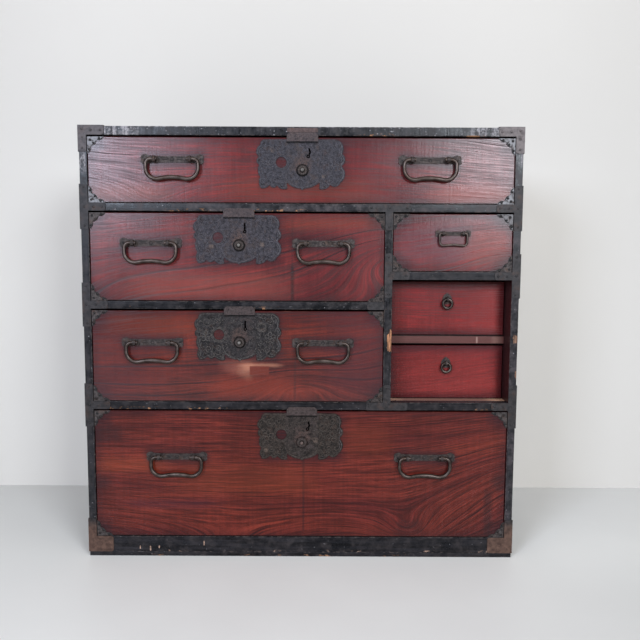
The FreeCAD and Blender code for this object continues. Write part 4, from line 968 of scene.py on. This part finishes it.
def lock_iron(drawer, middle, dark, pale, specks, brown_spots):
    """The finish of a lock plate with its guard and collar."""
    material, bench, shader, base, rough, marks = iron(
        drawer + "_lock_iron", 170.0, dark, pale, 0.3, 0.40, specks)
    shader.inputs["Specular IOR Level"].default_value = 0.2
    y = bench.split(bench.place())[1]
    aside = bench.stretch(bench.vector("SUBTRACT", bench.place(), middle), 1000.0, 0.0, 1000.0)
    u, _, w = bench.split(aside)
    beside = bench.away(u)
    away = bench.length(aside)
    patchy = bench.fade(marks["Tone"], 0.3, 0.7)
    dots = bench.put("ShaderNodeTexVoronoi", {"Vector": bench.place(), "Scale": 620.0}, "Distance")
    dots = bench.fade(dots, 0.25, 0.55)
    base = bench.shade(base, dots, 1.25, 0.5)
    shield = bench.fade(beside, 39.0, 32.0)
    base = bench.stain(base, shield, bench.between(marks["Rust"], 0.1, 0.7), colour(0.058, 0.046, 0.045))
    guard = bench.times(bench.fade(w, 57.0, 58.5), bench.fade(beside, 33.0, 31.5))
    base = bench.stain(base, guard, bench.fade(marks["Tone"], 0.1, 0.8), colour(0.078, 0.056, 0.053))
    # Painted shadow: a dark band under the lower edge of the guard.
    under = bench.times(bench.fade(w, 52.5, 56.0), bench.fade(w, 58.5, 57.5),
                        bench.fade(beside, 34.0, 31.0))
    base = bench.shade(base, under, 1.0, 0.25)
    dirt = bench.fade(bench.plus(away, bench.times(w, -0.5)), 20.0, 10.0)
    base = bench.stain(base, dirt, patchy, colour(0.080, 0.050, 0.042))
    spots = [(middle.x + u0 / 1000, middle.z + w0 / 1000, wide / 2000, tall / 2000,
              wide / 1000, tall / 1000)
             for u0, w0, wide, tall in brown_spots]
    spots = bench.times(covered(bench, spots), bench.fade(marks["Tone"], 0.35, 0.60))
    base = bench.stain(base, spots, 0.55, colour(0.150, 0.105, 0.082))
    # The collar is painted near-black: dirt together with painted shade.
    collar = bench.fade(away, 13.2, 12.4)
    collar_dark = 0.45 if drawer == "bottom_drawer" else 0.85
    base = bench.stain(base, collar, collar_dark, colour(0.0060, 0.0050, 0.0046))
    base = bench.tint(bench.fade(away, 9.6, 8.4), base, colour(0.062, 0.048, 0.043))
    # Painted shade: the inside of the lock, seen through the keyhole, is painted black.
    front_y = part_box(drawer + "_front")[0].y
    lock_inside_shade = bench.fade(y, front_y - 0.0004, front_y + 0.0002)
    base = bench.tint(lock_inside_shade, base, colour(0.0020, 0.0018, 0.0018))
    relief = bench.plus(bench.times(dots, -0.8), marks["Height"])
    finish(bench, shader, base, rough, relief, strength=0.8, depth=0.0008)
    return material


def raised_iron(drawer, middle, dark, raised, specks):
    """The finish of the raised lines, with a painted highlight at the right-hand rim."""
    material, bench, shader, base, rough, marks = iron(
        drawer + "_chased_iron", 330.0, dark, raised, 0.3, 0.40, specks)
    x, y, z = bench.split(bench.place())
    # Painted highlight on the right-hand rim of the raised lines.
    painted_rim = bench.fade(x, middle.x + 0.074, middle.x + 0.084)
    base = bench.stain(base, painted_rim, bench.fade(marks["Tone"], 0.3, 0.7), colour(0.120, 0.112, 0.116))
    finish(bench, shader, base, rough, marks["Height"], strength=0.3, depth=0.0004)
    return material


def button_iron(drawer, middle):
    """The finish of a push button: its own colour in the middle and a painted shade around it."""
    tones = BROWN_BUTTON if drawer == "bottom_drawer" else GREY_BUTTON
    material, bench, shader, base, rough, marks = iron(drawer + "_button_iron", 200.0, *tones, 0.2, 0.40)
    aside = bench.stretch(bench.vector("SUBTRACT", bench.place(), middle), 1000.0, 0.0, 1000.0)
    # Painted shade: the dome is painted darker away from its middle.
    around = bench.fade(bench.length(aside), 2.0, 4.2)
    base = bench.stain(base, around, 0.85, colour(0.0130, 0.0105, 0.0098))
    shader.inputs["Metallic"].default_value = 0.3
    finish(bench, shader, base, rough, marks["Height"], strength=0.12, depth=0.0004)
    return material


chased_iron = {}
for drawer, (dark, pale, raised, specks, brown_spots) in LOCKS.items():
    middle = middle_of(drawer + "_lock_button")
    coat_with(drawer + "_lock", lock_iron(drawer, middle, dark, pale, specks, brown_spots))
    coat_with(drawer + "_lock_button", button_iron(drawer, middle))
    chased_iron[drawer] = raised_iron(drawer, middle, dark, raised, specks)
print("lock irons:", len(chased_iron))

# %% [markdown]
# ## Softened edges
# A frame straight from the drawing has edges like knives. Planes and a century of dusters have
# rounded the real ones. A Bevel modifier rounds the sharp edges only; a Weld before it joins the
# faces, which arrive apart, and a Weighted Normal after it keeps the flat faces flat. The mesh
# itself is left alone.

# %% Soft edges
def soften(node, width):
    piece = nodes[node]
    weld = piece.modifiers.new("joined_faces", "WELD")
    weld.merge_threshold = 0.00001
    bevel = piece.modifiers.new("soft_edges", "BEVEL")
    bevel.width = width
    bevel.segments = 2
    bevel.limit_method = "ANGLE"
    bevel.angle_limit = math.radians(40)
    piece.modifiers.new("even_shading", "WEIGHTED_NORMAL")


BOARDS = ("top_board", "bottom_board", "left_side_board", "right_side_board", "partition_board",
          "upper_rail", "left_mid_rail", "lower_rail", "right_mid_rail", "base_rail", "niche_shelf")
BOARD_EDGE, BOX_EDGE, STRAP_EDGE = 0.0011, 0.0008, 0.0004
for board in BOARDS:
    soften(board, BOARD_EDGE)
for drawer in DRAWERS:
    soften(drawer + "_box", BOX_EDGE)
for strap in ("corner_straps", "frame_straps"):
    soften(strap, STRAP_EDGE)
print("softened pieces:", len(BOARDS) + len(DRAWERS) + 2)

# %% [markdown]
# ## Nails
# Every iron is held by hand-made nails with low round heads. A head is a small dome: a few rings
# of points that rise from the plate to one point. Heads on the same body are gathered in one
# mesh, because some two hundred separate objects would only slow the scene. Each head is given a
# slightly different size and place, as a hammer leaves them.

# %% Nail heads
OUTWARD = {"front": (0, -1, 0), "top": (0, 0, 1), "back": (0, 1, 0),
           "left": (-1, 0, 0), "right": (1, 0, 0)}
DOME = ((1.0, -0.15), (0.96, 0.22), (0.72, 0.68), (0.36, 0.94))
DOME_SIDES = 10
DOME_RISE = 0.45
MISSED_BY = 0.0006
luck = random.Random(7)


def nail_head(mesh, place, facing, radius):
    out = Vector(OUTWARD[facing])
    across = Vector((0, 1, 0) if out.x else (1, 0, 0))
    up = Vector((0, 1, 0) if out.z else (0, 0, 1))
    radius *= luck.uniform(0.88, 1.12)
    missed = across * luck.uniform(-1, 1) + up * luck.uniform(-1, 1)
    middle = Vector(place) + missed * MISSED_BY
    turns = [math.tau * step / DOME_SIDES for step in range(DOME_SIDES)]
    around = [across * math.cos(turn) + up * math.sin(turn) for turn in turns]
    rings = []
    for wide, high in DOME:
        base = middle + out * radius * DOME_RISE * high
        rings.append([mesh.verts.new(base + spoke * radius * wide) for spoke in around])
    crown = mesh.verts.new(middle + out * radius * DOME_RISE)
    sides = [(step, (step + 1) % DOME_SIDES) for step in range(DOME_SIDES)]
    for lower, upper in zip(rings, rings[1:]):
        for a, b in sides:
            mesh.faces.new((lower[a], lower[b], upper[b], upper[a]))
    for a, b in sides:
        mesh.faces.new((rings[-1][a], rings[-1][b], crown))


def mesh_piece(name, mesh, body, material):
    """Turns a finished bmesh into a piece that rides on a body."""
    bmesh.ops.recalc_face_normals(mesh, faces=mesh.faces)
    data = bpy.data.meshes.new(name)
    mesh.to_mesh(data)
    mesh.free()
    for face in data.polygons:
        face.use_smooth = True
    piece = bpy.data.objects.new(name, data)
    bpy.context.scene.collection.objects.link(piece)
    data.materials.append(material)
    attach(piece, body)
    return piece


print("a nail head has", len(DOME) * DOME_SIDES + 1, "points")

# %% [markdown]
# The straps are nailed at the end of each arm and on the stile above and below each joint, on
# the front and on the outer sides alike. All places come from the boxes of the boards, so the
# nails stay on their straps if a rail moves. The four back boards are nailed to both sides and to
# the partition.

# %% Nails of the frame
STRAP_NAIL = 0.0024
BACK_NAIL = 0.0026
ARM = 0.039
front_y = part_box("frame_straps")[0].y
strap_low, strap_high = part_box("corner_straps")
case_low, case_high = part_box("right_side_board")
on_stile = (case_high.x - case_low.x) / 2
frame_mesh = bmesh.new()


def front_nails(*places):
    for x, z in places:
        nail_head(frame_mesh, (x, front_y, z), "front", STRAP_NAIL)


def corner_nails(hand, z, front, side):
    """Nails about one height of a stile, first on the front and then on the outer side. Each is
    given by how far in from the edge it is, and how far above that height."""
    front_nails(*[(hand * (case_high.x - inset), z + above) for inset, above in front])
    for back, above in side:
        place = (hand * strap_high.x, case_low.y + back, z + above)
        nail_head(frame_mesh, place, "right" if hand > 0 else "left", STRAP_NAIL)


RAIL_FRONT = ((on_stile, ARM), (on_stile, -ARM), (on_stile, 0.0), (0.045, 0.0), (0.027, 0.0))
RAIL_SIDE = ((0.008, ARM), (0.008, -ARM), (0.045, 0.0), (0.016, 0.0))
TOP_FRONT = ((on_stile, strap_high.z - top_middle - 0.046), (on_stile, -0.014), (on_stile, 0.003),
             (0.045, 0.0), (0.026, 0.0))
TOP_SIDE = ((0.045, 0.0), (0.008, -0.036), (0.010, 0.0))
FOOT_FRONT = ((on_stile, 0.066), (on_stile, 0.042), (on_stile, 0.010), (0.044, 0.017), (0.026, 0.017))
FOOT_SIDE = ((0.044, 0.017), (0.008, 0.064), (0.012, 0.017))
for hand, side in ((-1, "left"), (1, "right")):
    for rail in ("upper_rail", side + "_mid_rail", "lower_rail"):
        corner_nails(hand, middle_of(rail).z, RAIL_FRONT, RAIL_SIDE)
    corner_nails(hand, top_middle, TOP_FRONT, TOP_SIDE)
    for inset, back in ((0.045, 0.008), (0.008, 0.045), (0.008, 0.010)):
        place = (hand * (case_high.x - inset), case_low.y + back, strap_high.z)
        nail_head(frame_mesh, place, "top", STRAP_NAIL)
    corner_nails(hand, strap_low.z, FOOT_FRONT, FOOT_SIDE)

post_low, post_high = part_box("partition_board")
post_x = (post_low.x + post_high.x) / 2
left_arm = post_low.x - 0.029
right_arm = post_high.x + 0.029
for rail, way in (("upper_rail", -1), ("lower_rail", 1)):
    z = middle_of(rail).z
    front_nails((left_arm, z), (right_arm, z), (post_x, z), (post_x, z + way * ARM))
z = middle_of("right_mid_rail").z
front_nails((right_arm, z), (post_x, z), (post_x, z + ARM), (post_x, z - ARM))
front_nails((left_arm, middle_of("left_mid_rail").z))
for number in range(BACK_BOARDS):
    for share in (0.25, 0.75):
        z = back_low.z + board_height * (number + share)
        for x in (back_low.x + 0.008, post_x, back_high.x - 0.008):
            nail_head(frame_mesh, (x, back_high.y, z), "back", BACK_NAIL)
frame_nails = mesh_piece("frame_nails", frame_mesh, "case", strap_iron)
print("points in the frame's nails:", len(frame_nails.data.vertices))

# %% [markdown]
# ## Chasing
# The smith raised the ornament of the lock plates with punches: a border that follows the
# scalloped edge, a plain shield around the button, and on both wings vines that curl up like
# fern tips, an old pattern that belongs to nobody. A raised line is a strip with a rounded
# section that follows a path and thins out at its ends. The paths are drawn about the push
# button in millimetres, so the same drawing serves all four locks.

# %% Raised lines
SECTION = ((-1.0, -0.25), (-0.6, 0.72), (0.0, 1.0), (0.6, 0.72), (1.0, -0.25))


def through(points, steps=6):
    """A smooth path through a few points."""
    path = []
    ends = [points[0], *points, points[-1]]
    for a, b, c, d in zip(ends, ends[1:], ends[2:], ends[3:]):
        for t in (step / steps for step in range(steps)):
            path.append(tuple(
                0.5 * (2 * b[i] + (c[i] - a[i]) * t + (2 * a[i] - 5 * b[i] + 4 * c[i] - d[i]) * t * t
                       + (3 * b[i] - a[i] - 3 * c[i] + d[i]) * t ** 3) for i in (0, 1)))
    return path + [tuple(points[-1])]


FERN_STEPS = 22
FERN_CLOSES = 0.86


def fern_tip(u, w, size, turns, start, hand):
    """A path that curls in on itself, as a young fern does."""
    steps = int(FERN_STEPS * turns)
    path = []
    for share in (step / steps for step in range(steps + 1)):
        angle = math.radians(start) + hand * math.tau * turns * share
        reach = size * (1.0 - FERN_CLOSES * share)
        path.append((u + reach * math.cos(angle), w + reach * math.sin(angle)))
    return path


def loop(u, w, radius, steps=26):
    turns = [math.tau * step / steps for step in range(steps + 1)]
    return [(u + radius * math.cos(turn), w + radius * math.sin(turn)) for turn in turns]


def raised_line(mesh, path, middle, y, width, height, tapered=True):
    """Adds a rounded strip along a path on a face that looks to the front."""
    rows = []
    last = len(path) - 1
    for i, (u, w) in enumerate(path):
        before = path[max(i - 1, 0)]
        after = path[min(i + 1, last)]
        run = math.dist(before, after) or 1.0
        side_u = (before[1] - after[1]) / run
        side_w = (after[0] - before[0]) / run
        thin = 0.25 + 0.75 * math.sin(math.pi * (0.04 + 0.92 * i / last)) ** 0.6 if tapered else 1.0
        rows.append([])
        for across, rise in SECTION:
            aside = across * width * thin
            x = middle[0] + (u + side_u * aside) / 1000
            z = middle[1] + (w + side_w * aside) / 1000
            rows[-1].append(mesh.verts.new((x, y - rise * height * thin / 1000, z)))
    for row, following in zip(rows, rows[1:]):
        for k in range(len(SECTION) - 1):
            mesh.faces.new((row[k], row[k + 1], following[k + 1], following[k]))


print("a raised line has", len(SECTION), "points across")

# %% [markdown]
# The edge of a plate is a row of petals, given as its corners and how far each run swells out,
# in percent of the plate. The border repeats that edge a little further in, each petal gets a
# second line inside it, and a vein runs inwards from each notch.

# %% Edge of the lock plates
LOCK_EDGE = ((-83, 100, 0), (74.5, 100, 10), (90, 54, 8.3), (88, 14.7, 10), (86.5, -61, 6.7),
             (64, -72, 4.4), (39, -94, 0), (39.3, -59, 3.3), (5.5, -91, -0.6), (0, -100, -0.6),
             (-5.5, -91, 3.3), (-35.5, -61, 0), (-34.5, -93, 4.4), (-57.7, -76, 5.5),
             (-74.4, -74, 2.8), (-94, -91, 4.4), (-95.6, -34, 4.4),
             (-98, 18.4, 6), (-98.9, 43.5, 7.8), (-95.6, 82, 4.4), (-83, 100, 0))
HALF_WIDTH, RISE, FALL = 0.90, 0.62, 0.40
EDGE_MM = [(u * HALF_WIDTH, w * (RISE if w > 0 else FALL), swell * HALF_WIDTH) for u, w, swell in LOCK_EDGE]
BORDER_INSET, PETAL_INSET = 2.6, 6.6
BORDER_TOP = 59.4


def along_edge(start, end, inset, first=0.0, last=1.0, steps=7):
    """Points along one run of the edge, drawn inset further in."""
    (u0, w0, bulge), (u1, w1, _) = start, end
    length = math.hypot(u1 - u0, w1 - w0)
    along = ((u1 - u0) / length, (w1 - w0) / length)
    out = (-along[1], along[0])
    points = []
    for step in range(steps + 1):
        t = first + (last - first) * step / steps
        swell = bulge * 4 * t * (1 - t)
        lean = bulge * 4 * (1 - 2 * t) / length
        size = math.hypot(1.0, lean)
        points.append(tuple(start[i] + (end[i] - start[i]) * t + out[i] * swell
                            - (out[i] - along[i] * lean) / size * inset for i in (0, 1)))
    return points


border = [(36.0, BORDER_TOP)]
petal_lines = []
for start, end in list(zip(EDGE_MM, EDGE_MM[1:]))[1:]:
    border += along_edge(start, end, BORDER_INSET, 0.06, 0.94)
    if start[2] > 3.5:
        petal_lines.append(along_edge(start, end, PETAL_INSET, 0.14, 0.86))
        heart = (57.0 if start[0] > 0 else -63.0, 12.0)
        far = math.dist(start[:2], heart)
        du, dw = (heart[0] - start[0]) / far, (heart[1] - start[1]) / far
        petal_lines.append(through([(start[0] + du * reach - dw * curl, start[1] + dw * reach + du * curl)
                                    for reach, curl in ((3.0, 0.0), (8.0, 1.4), (13.0, 4.2))]))
border += [(-75.0, BORDER_TOP), (-36.0, BORDER_TOP)]
print("petal lines on a lock:", len(petal_lines))

# %% [markdown]
# In the middle of both wings sits a flower, with fern tips around it. Nails hold the plate along
# its edge.

# %% Lock chasing
PETALS = 5
PETAL_OUT, PETAL_LONG, PETAL_WIDE = 0.62, 0.38, 0.33


def flower(u, w, size):
    """A flower of five petals about a round middle."""
    paths = [loop(u, w, size * 0.24, 16)]
    for turn in (math.tau * (petal + 0.25) / PETALS for petal in range(PETALS)):
        cos, sin = math.cos(turn), math.sin(turn)
        paths.append([])
        for along, across in loop(0, 0, 1.0, 18):
            along = PETAL_OUT + PETAL_LONG * along
            across *= PETAL_WIDE
            paths[-1].append((u + size * (along * cos - across * sin),
                              w + size * (along * sin + across * cos)))
    return paths


SHIELD = through([(36.5, 2), (36, -8), (34, -14), (27, -25), (14, -31.5), (4.5, -34), (0, -36.8)])
RIGHT_WING = flower(64, 10, 11.5) + [
    fern_tip(65, 45, 8.0, 1.6, 200, 1), fern_tip(57, -14, 8.5, 1.6, 150, 1),
    loop(46, 32, 9.6), loop(46, 32, 7.4), fern_tip(44, -4, 5.5, 1.4, 60, 1),
    through([(38.5, 56), (44, 53), (50, 50), (54, 52)]),
    through([(38.5, 20), (42, 17), (44, 12), (41, 6)]),
    through([(39, -14), (43, -19), (46, -25), (40, -30)]),
]
LEFT_WING = flower(-71, 13, 11.5) + [
    fern_tip(-68, 43, 9.5, 1.6, -20, -1), fern_tip(-65, -14, 8.5, 1.6, 30, -1),
    fern_tip(-48, 44, 7, 1.4, 300, 1),
    fern_tip(-45, -13, 7, 1.4, 120, -1), loop(-43.5, 16, 12.8), loop(-43.5, 16, 15.6),
    through([(-38, 55), (-41, 50), (-40, 42), (-44, 36)]),
    through([(-38, -22), (-42, -26), (-50, -25), (-53, -20)]),
]
LOCK_NAILS = ((-78, 54), (76, 50), (-83, -29), (80, -8), (-43, -32.5), (47, -33), (-89.5, 19.5), (83, 21.5))
LOCK_NAIL = 0.0019
PLATE_THICK = 0.002
for drawer in LARGE_DRAWERS:
    button = middle_of(drawer + "_lock_button")
    middle = (button.x, button.z)
    plate_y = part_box(drawer + "_front")[0].y - PLATE_THICK
    mesh = bmesh.new()
    raised_line(mesh, border, middle, plate_y, 0.8, 0.6, tapered=False)
    for hand in (1, -1):
        raised_line(mesh, [(hand * u, w) for u, w in SHIELD], middle, plate_y, 1.0, 0.7)
    for path in petal_lines + RIGHT_WING + LEFT_WING:
        open_ended = math.dist(path[0], path[-1]) > 0.01
        raised_line(mesh, path, middle, plate_y, 1.0, 0.8, tapered=open_ended)
    chasing = mesh_piece(drawer + "_lock_chasing", mesh, drawer, chased_iron[drawer])
    mesh = bmesh.new()
    for u, w in LOCK_NAILS:
        nail_head(mesh, (button.x + u / 1000, plate_y, button.z + w / 1000), "front", LOCK_NAIL)
    mesh_piece(drawer + "_lock_nails", mesh, drawer, nail_iron)
print("points in one lock's chasing:", len(chasing.data.vertices))

# %% [markdown]
# The handle plates carry a few cuts of their own between the eyes, and like the corner plates
# they are nailed at their ends. A fine line follows the lobed edge of every corner plate.

# %% Face nails and handle plates
CORNER_EDGE = ((34.0, 0.0, 3.2), (19.0, -6.8, 3.2), (6.8, -19.0, 3.2), (0.0, -34.0, 0.0))
CORNER_NAILS = ((6.0, 6.0), (25.0, 3.4), (3.4, 25.0), (12.8, 12.8))
CORNER_NAIL = 0.0027
CORNER_THICK = 0.0012
HANDLE_THICK = 0.0015
LARGE_HANDLE, SMALL_HANDLE = (0.0035, 57.0, 0.0018, 1.0), (0.0021, 32.0, 0.0014, 0.55)
HANDLE_CUTS = ((-22, 0, -9, 0), (9, 0, 22, 0), (-26, 3, -8, 3.4), (8, 3.4, 26, 3))


def corner_ornament(mesh, x, z, way_x, way_z, y):
    for u, w in CORNER_NAILS:
        nail_head(mesh, (x + way_x * u / 1000, y, z + way_z * w / 1000), "front", CORNER_NAIL)
    for start, end in zip(CORNER_EDGE, CORNER_EDGE[1:]):
        path = [(way_x * u, -way_z * w) for u, w in along_edge(start, end, 1.2, 0.05, 0.95)]
        raised_line(mesh, path, (x, z), y, 1.2, 0.5)


def handle_ornament(mesh, bail, y):
    """Nails and cuts of a handle plate: how far down it lies, its reach, nails and scale."""
    down, reach, nail, size = SMALL_HANDLE if bail.startswith("small") else LARGE_HANDLE
    middle = (middle_of(bail).x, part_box(bail)[1].z - down)
    for u in (-reach, reach):
        nail_head(mesh, (middle[0] + u / 1000, y, middle[1]), "front", nail)
    for u0, w0, u1, w1 in HANDLE_CUTS:
        raised_line(mesh, through([(u0 * size, w0), (u1 * size, w1)]), middle, y, 0.8 * size, 0.5)
    raised_line(mesh, loop(0, 0, 3.2 * size, 14), middle, y, 0.8 * size, 0.5, tapered=False)


for drawer in LARGE_DRAWERS + ("small_drawer",):
    low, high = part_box(drawer + "_front")
    mesh = bmesh.new()
    for x, way_x in ((low.x, 1), (high.x, -1)):
        for z, way_z in ((low.z, 1), (high.z, -1)):
            corner_ornament(mesh, x, z, way_x, way_z, low.y - CORNER_THICK)
    for bail in (drawer + "_" + hand for hand in BAILS):
        if bail in nodes:
            handle_ornament(mesh, bail, low.y - HANDLE_THICK)
    mesh_piece(drawer + "_face_nails", mesh, drawer, nail_iron)
print("face nails on", len(LARGE_DRAWERS) + 1, "drawers")

# %% [markdown]
# Above the guard of the top drawer a small strip of browned iron is let into the edge of the top
# board, where the bolt strikes it.

# %% Strike strip
STRIP_OUTLINE = through([(-31.5, 0), (-31.5, 5.5), (-29.5, 8.2), (-15, 8.6), (0, 8.4), (15, 8.7),
                         (29.5, 8.2), (31.5, 5.5), (31.5, 0)], 3)
STRIP_NAIL = 0.0016
strip_x = middle_of("top_drawer_lock_button").x
strip_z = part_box("top_drawer_front")[1].z + 0.0102
strip_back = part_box("upper_rail")[0].y + 0.0002
strip_front = strip_back - 0.0014
mesh = bmesh.new()
rows = []
for y in (strip_front, strip_back):
    rows.append([mesh.verts.new((strip_x + u / 1000, y, strip_z + w / 1000)) for u, w in STRIP_OUTLINE])
front_row, back_row = rows
mesh.faces.new(front_row)
mesh.faces.new(back_row[::-1])
for i in range(len(STRIP_OUTLINE)):
    mesh.faces.new((front_row[i - 1], front_row[i], back_row[i], back_row[i - 1]))
for u in (-27, 27):
    nail_head(mesh, (strip_x + u / 1000, strip_front, strip_z + 0.0045), "front", STRIP_NAIL)
strike = mesh_piece("strike_strip", mesh, "case", strike_iron)
for face in strike.data.polygons:
    face.use_smooth = len(face.vertices) == 4 and face.normal.y > -0.99
print("strike strip:", len(strike.data.vertices), "points")

# %% [markdown]
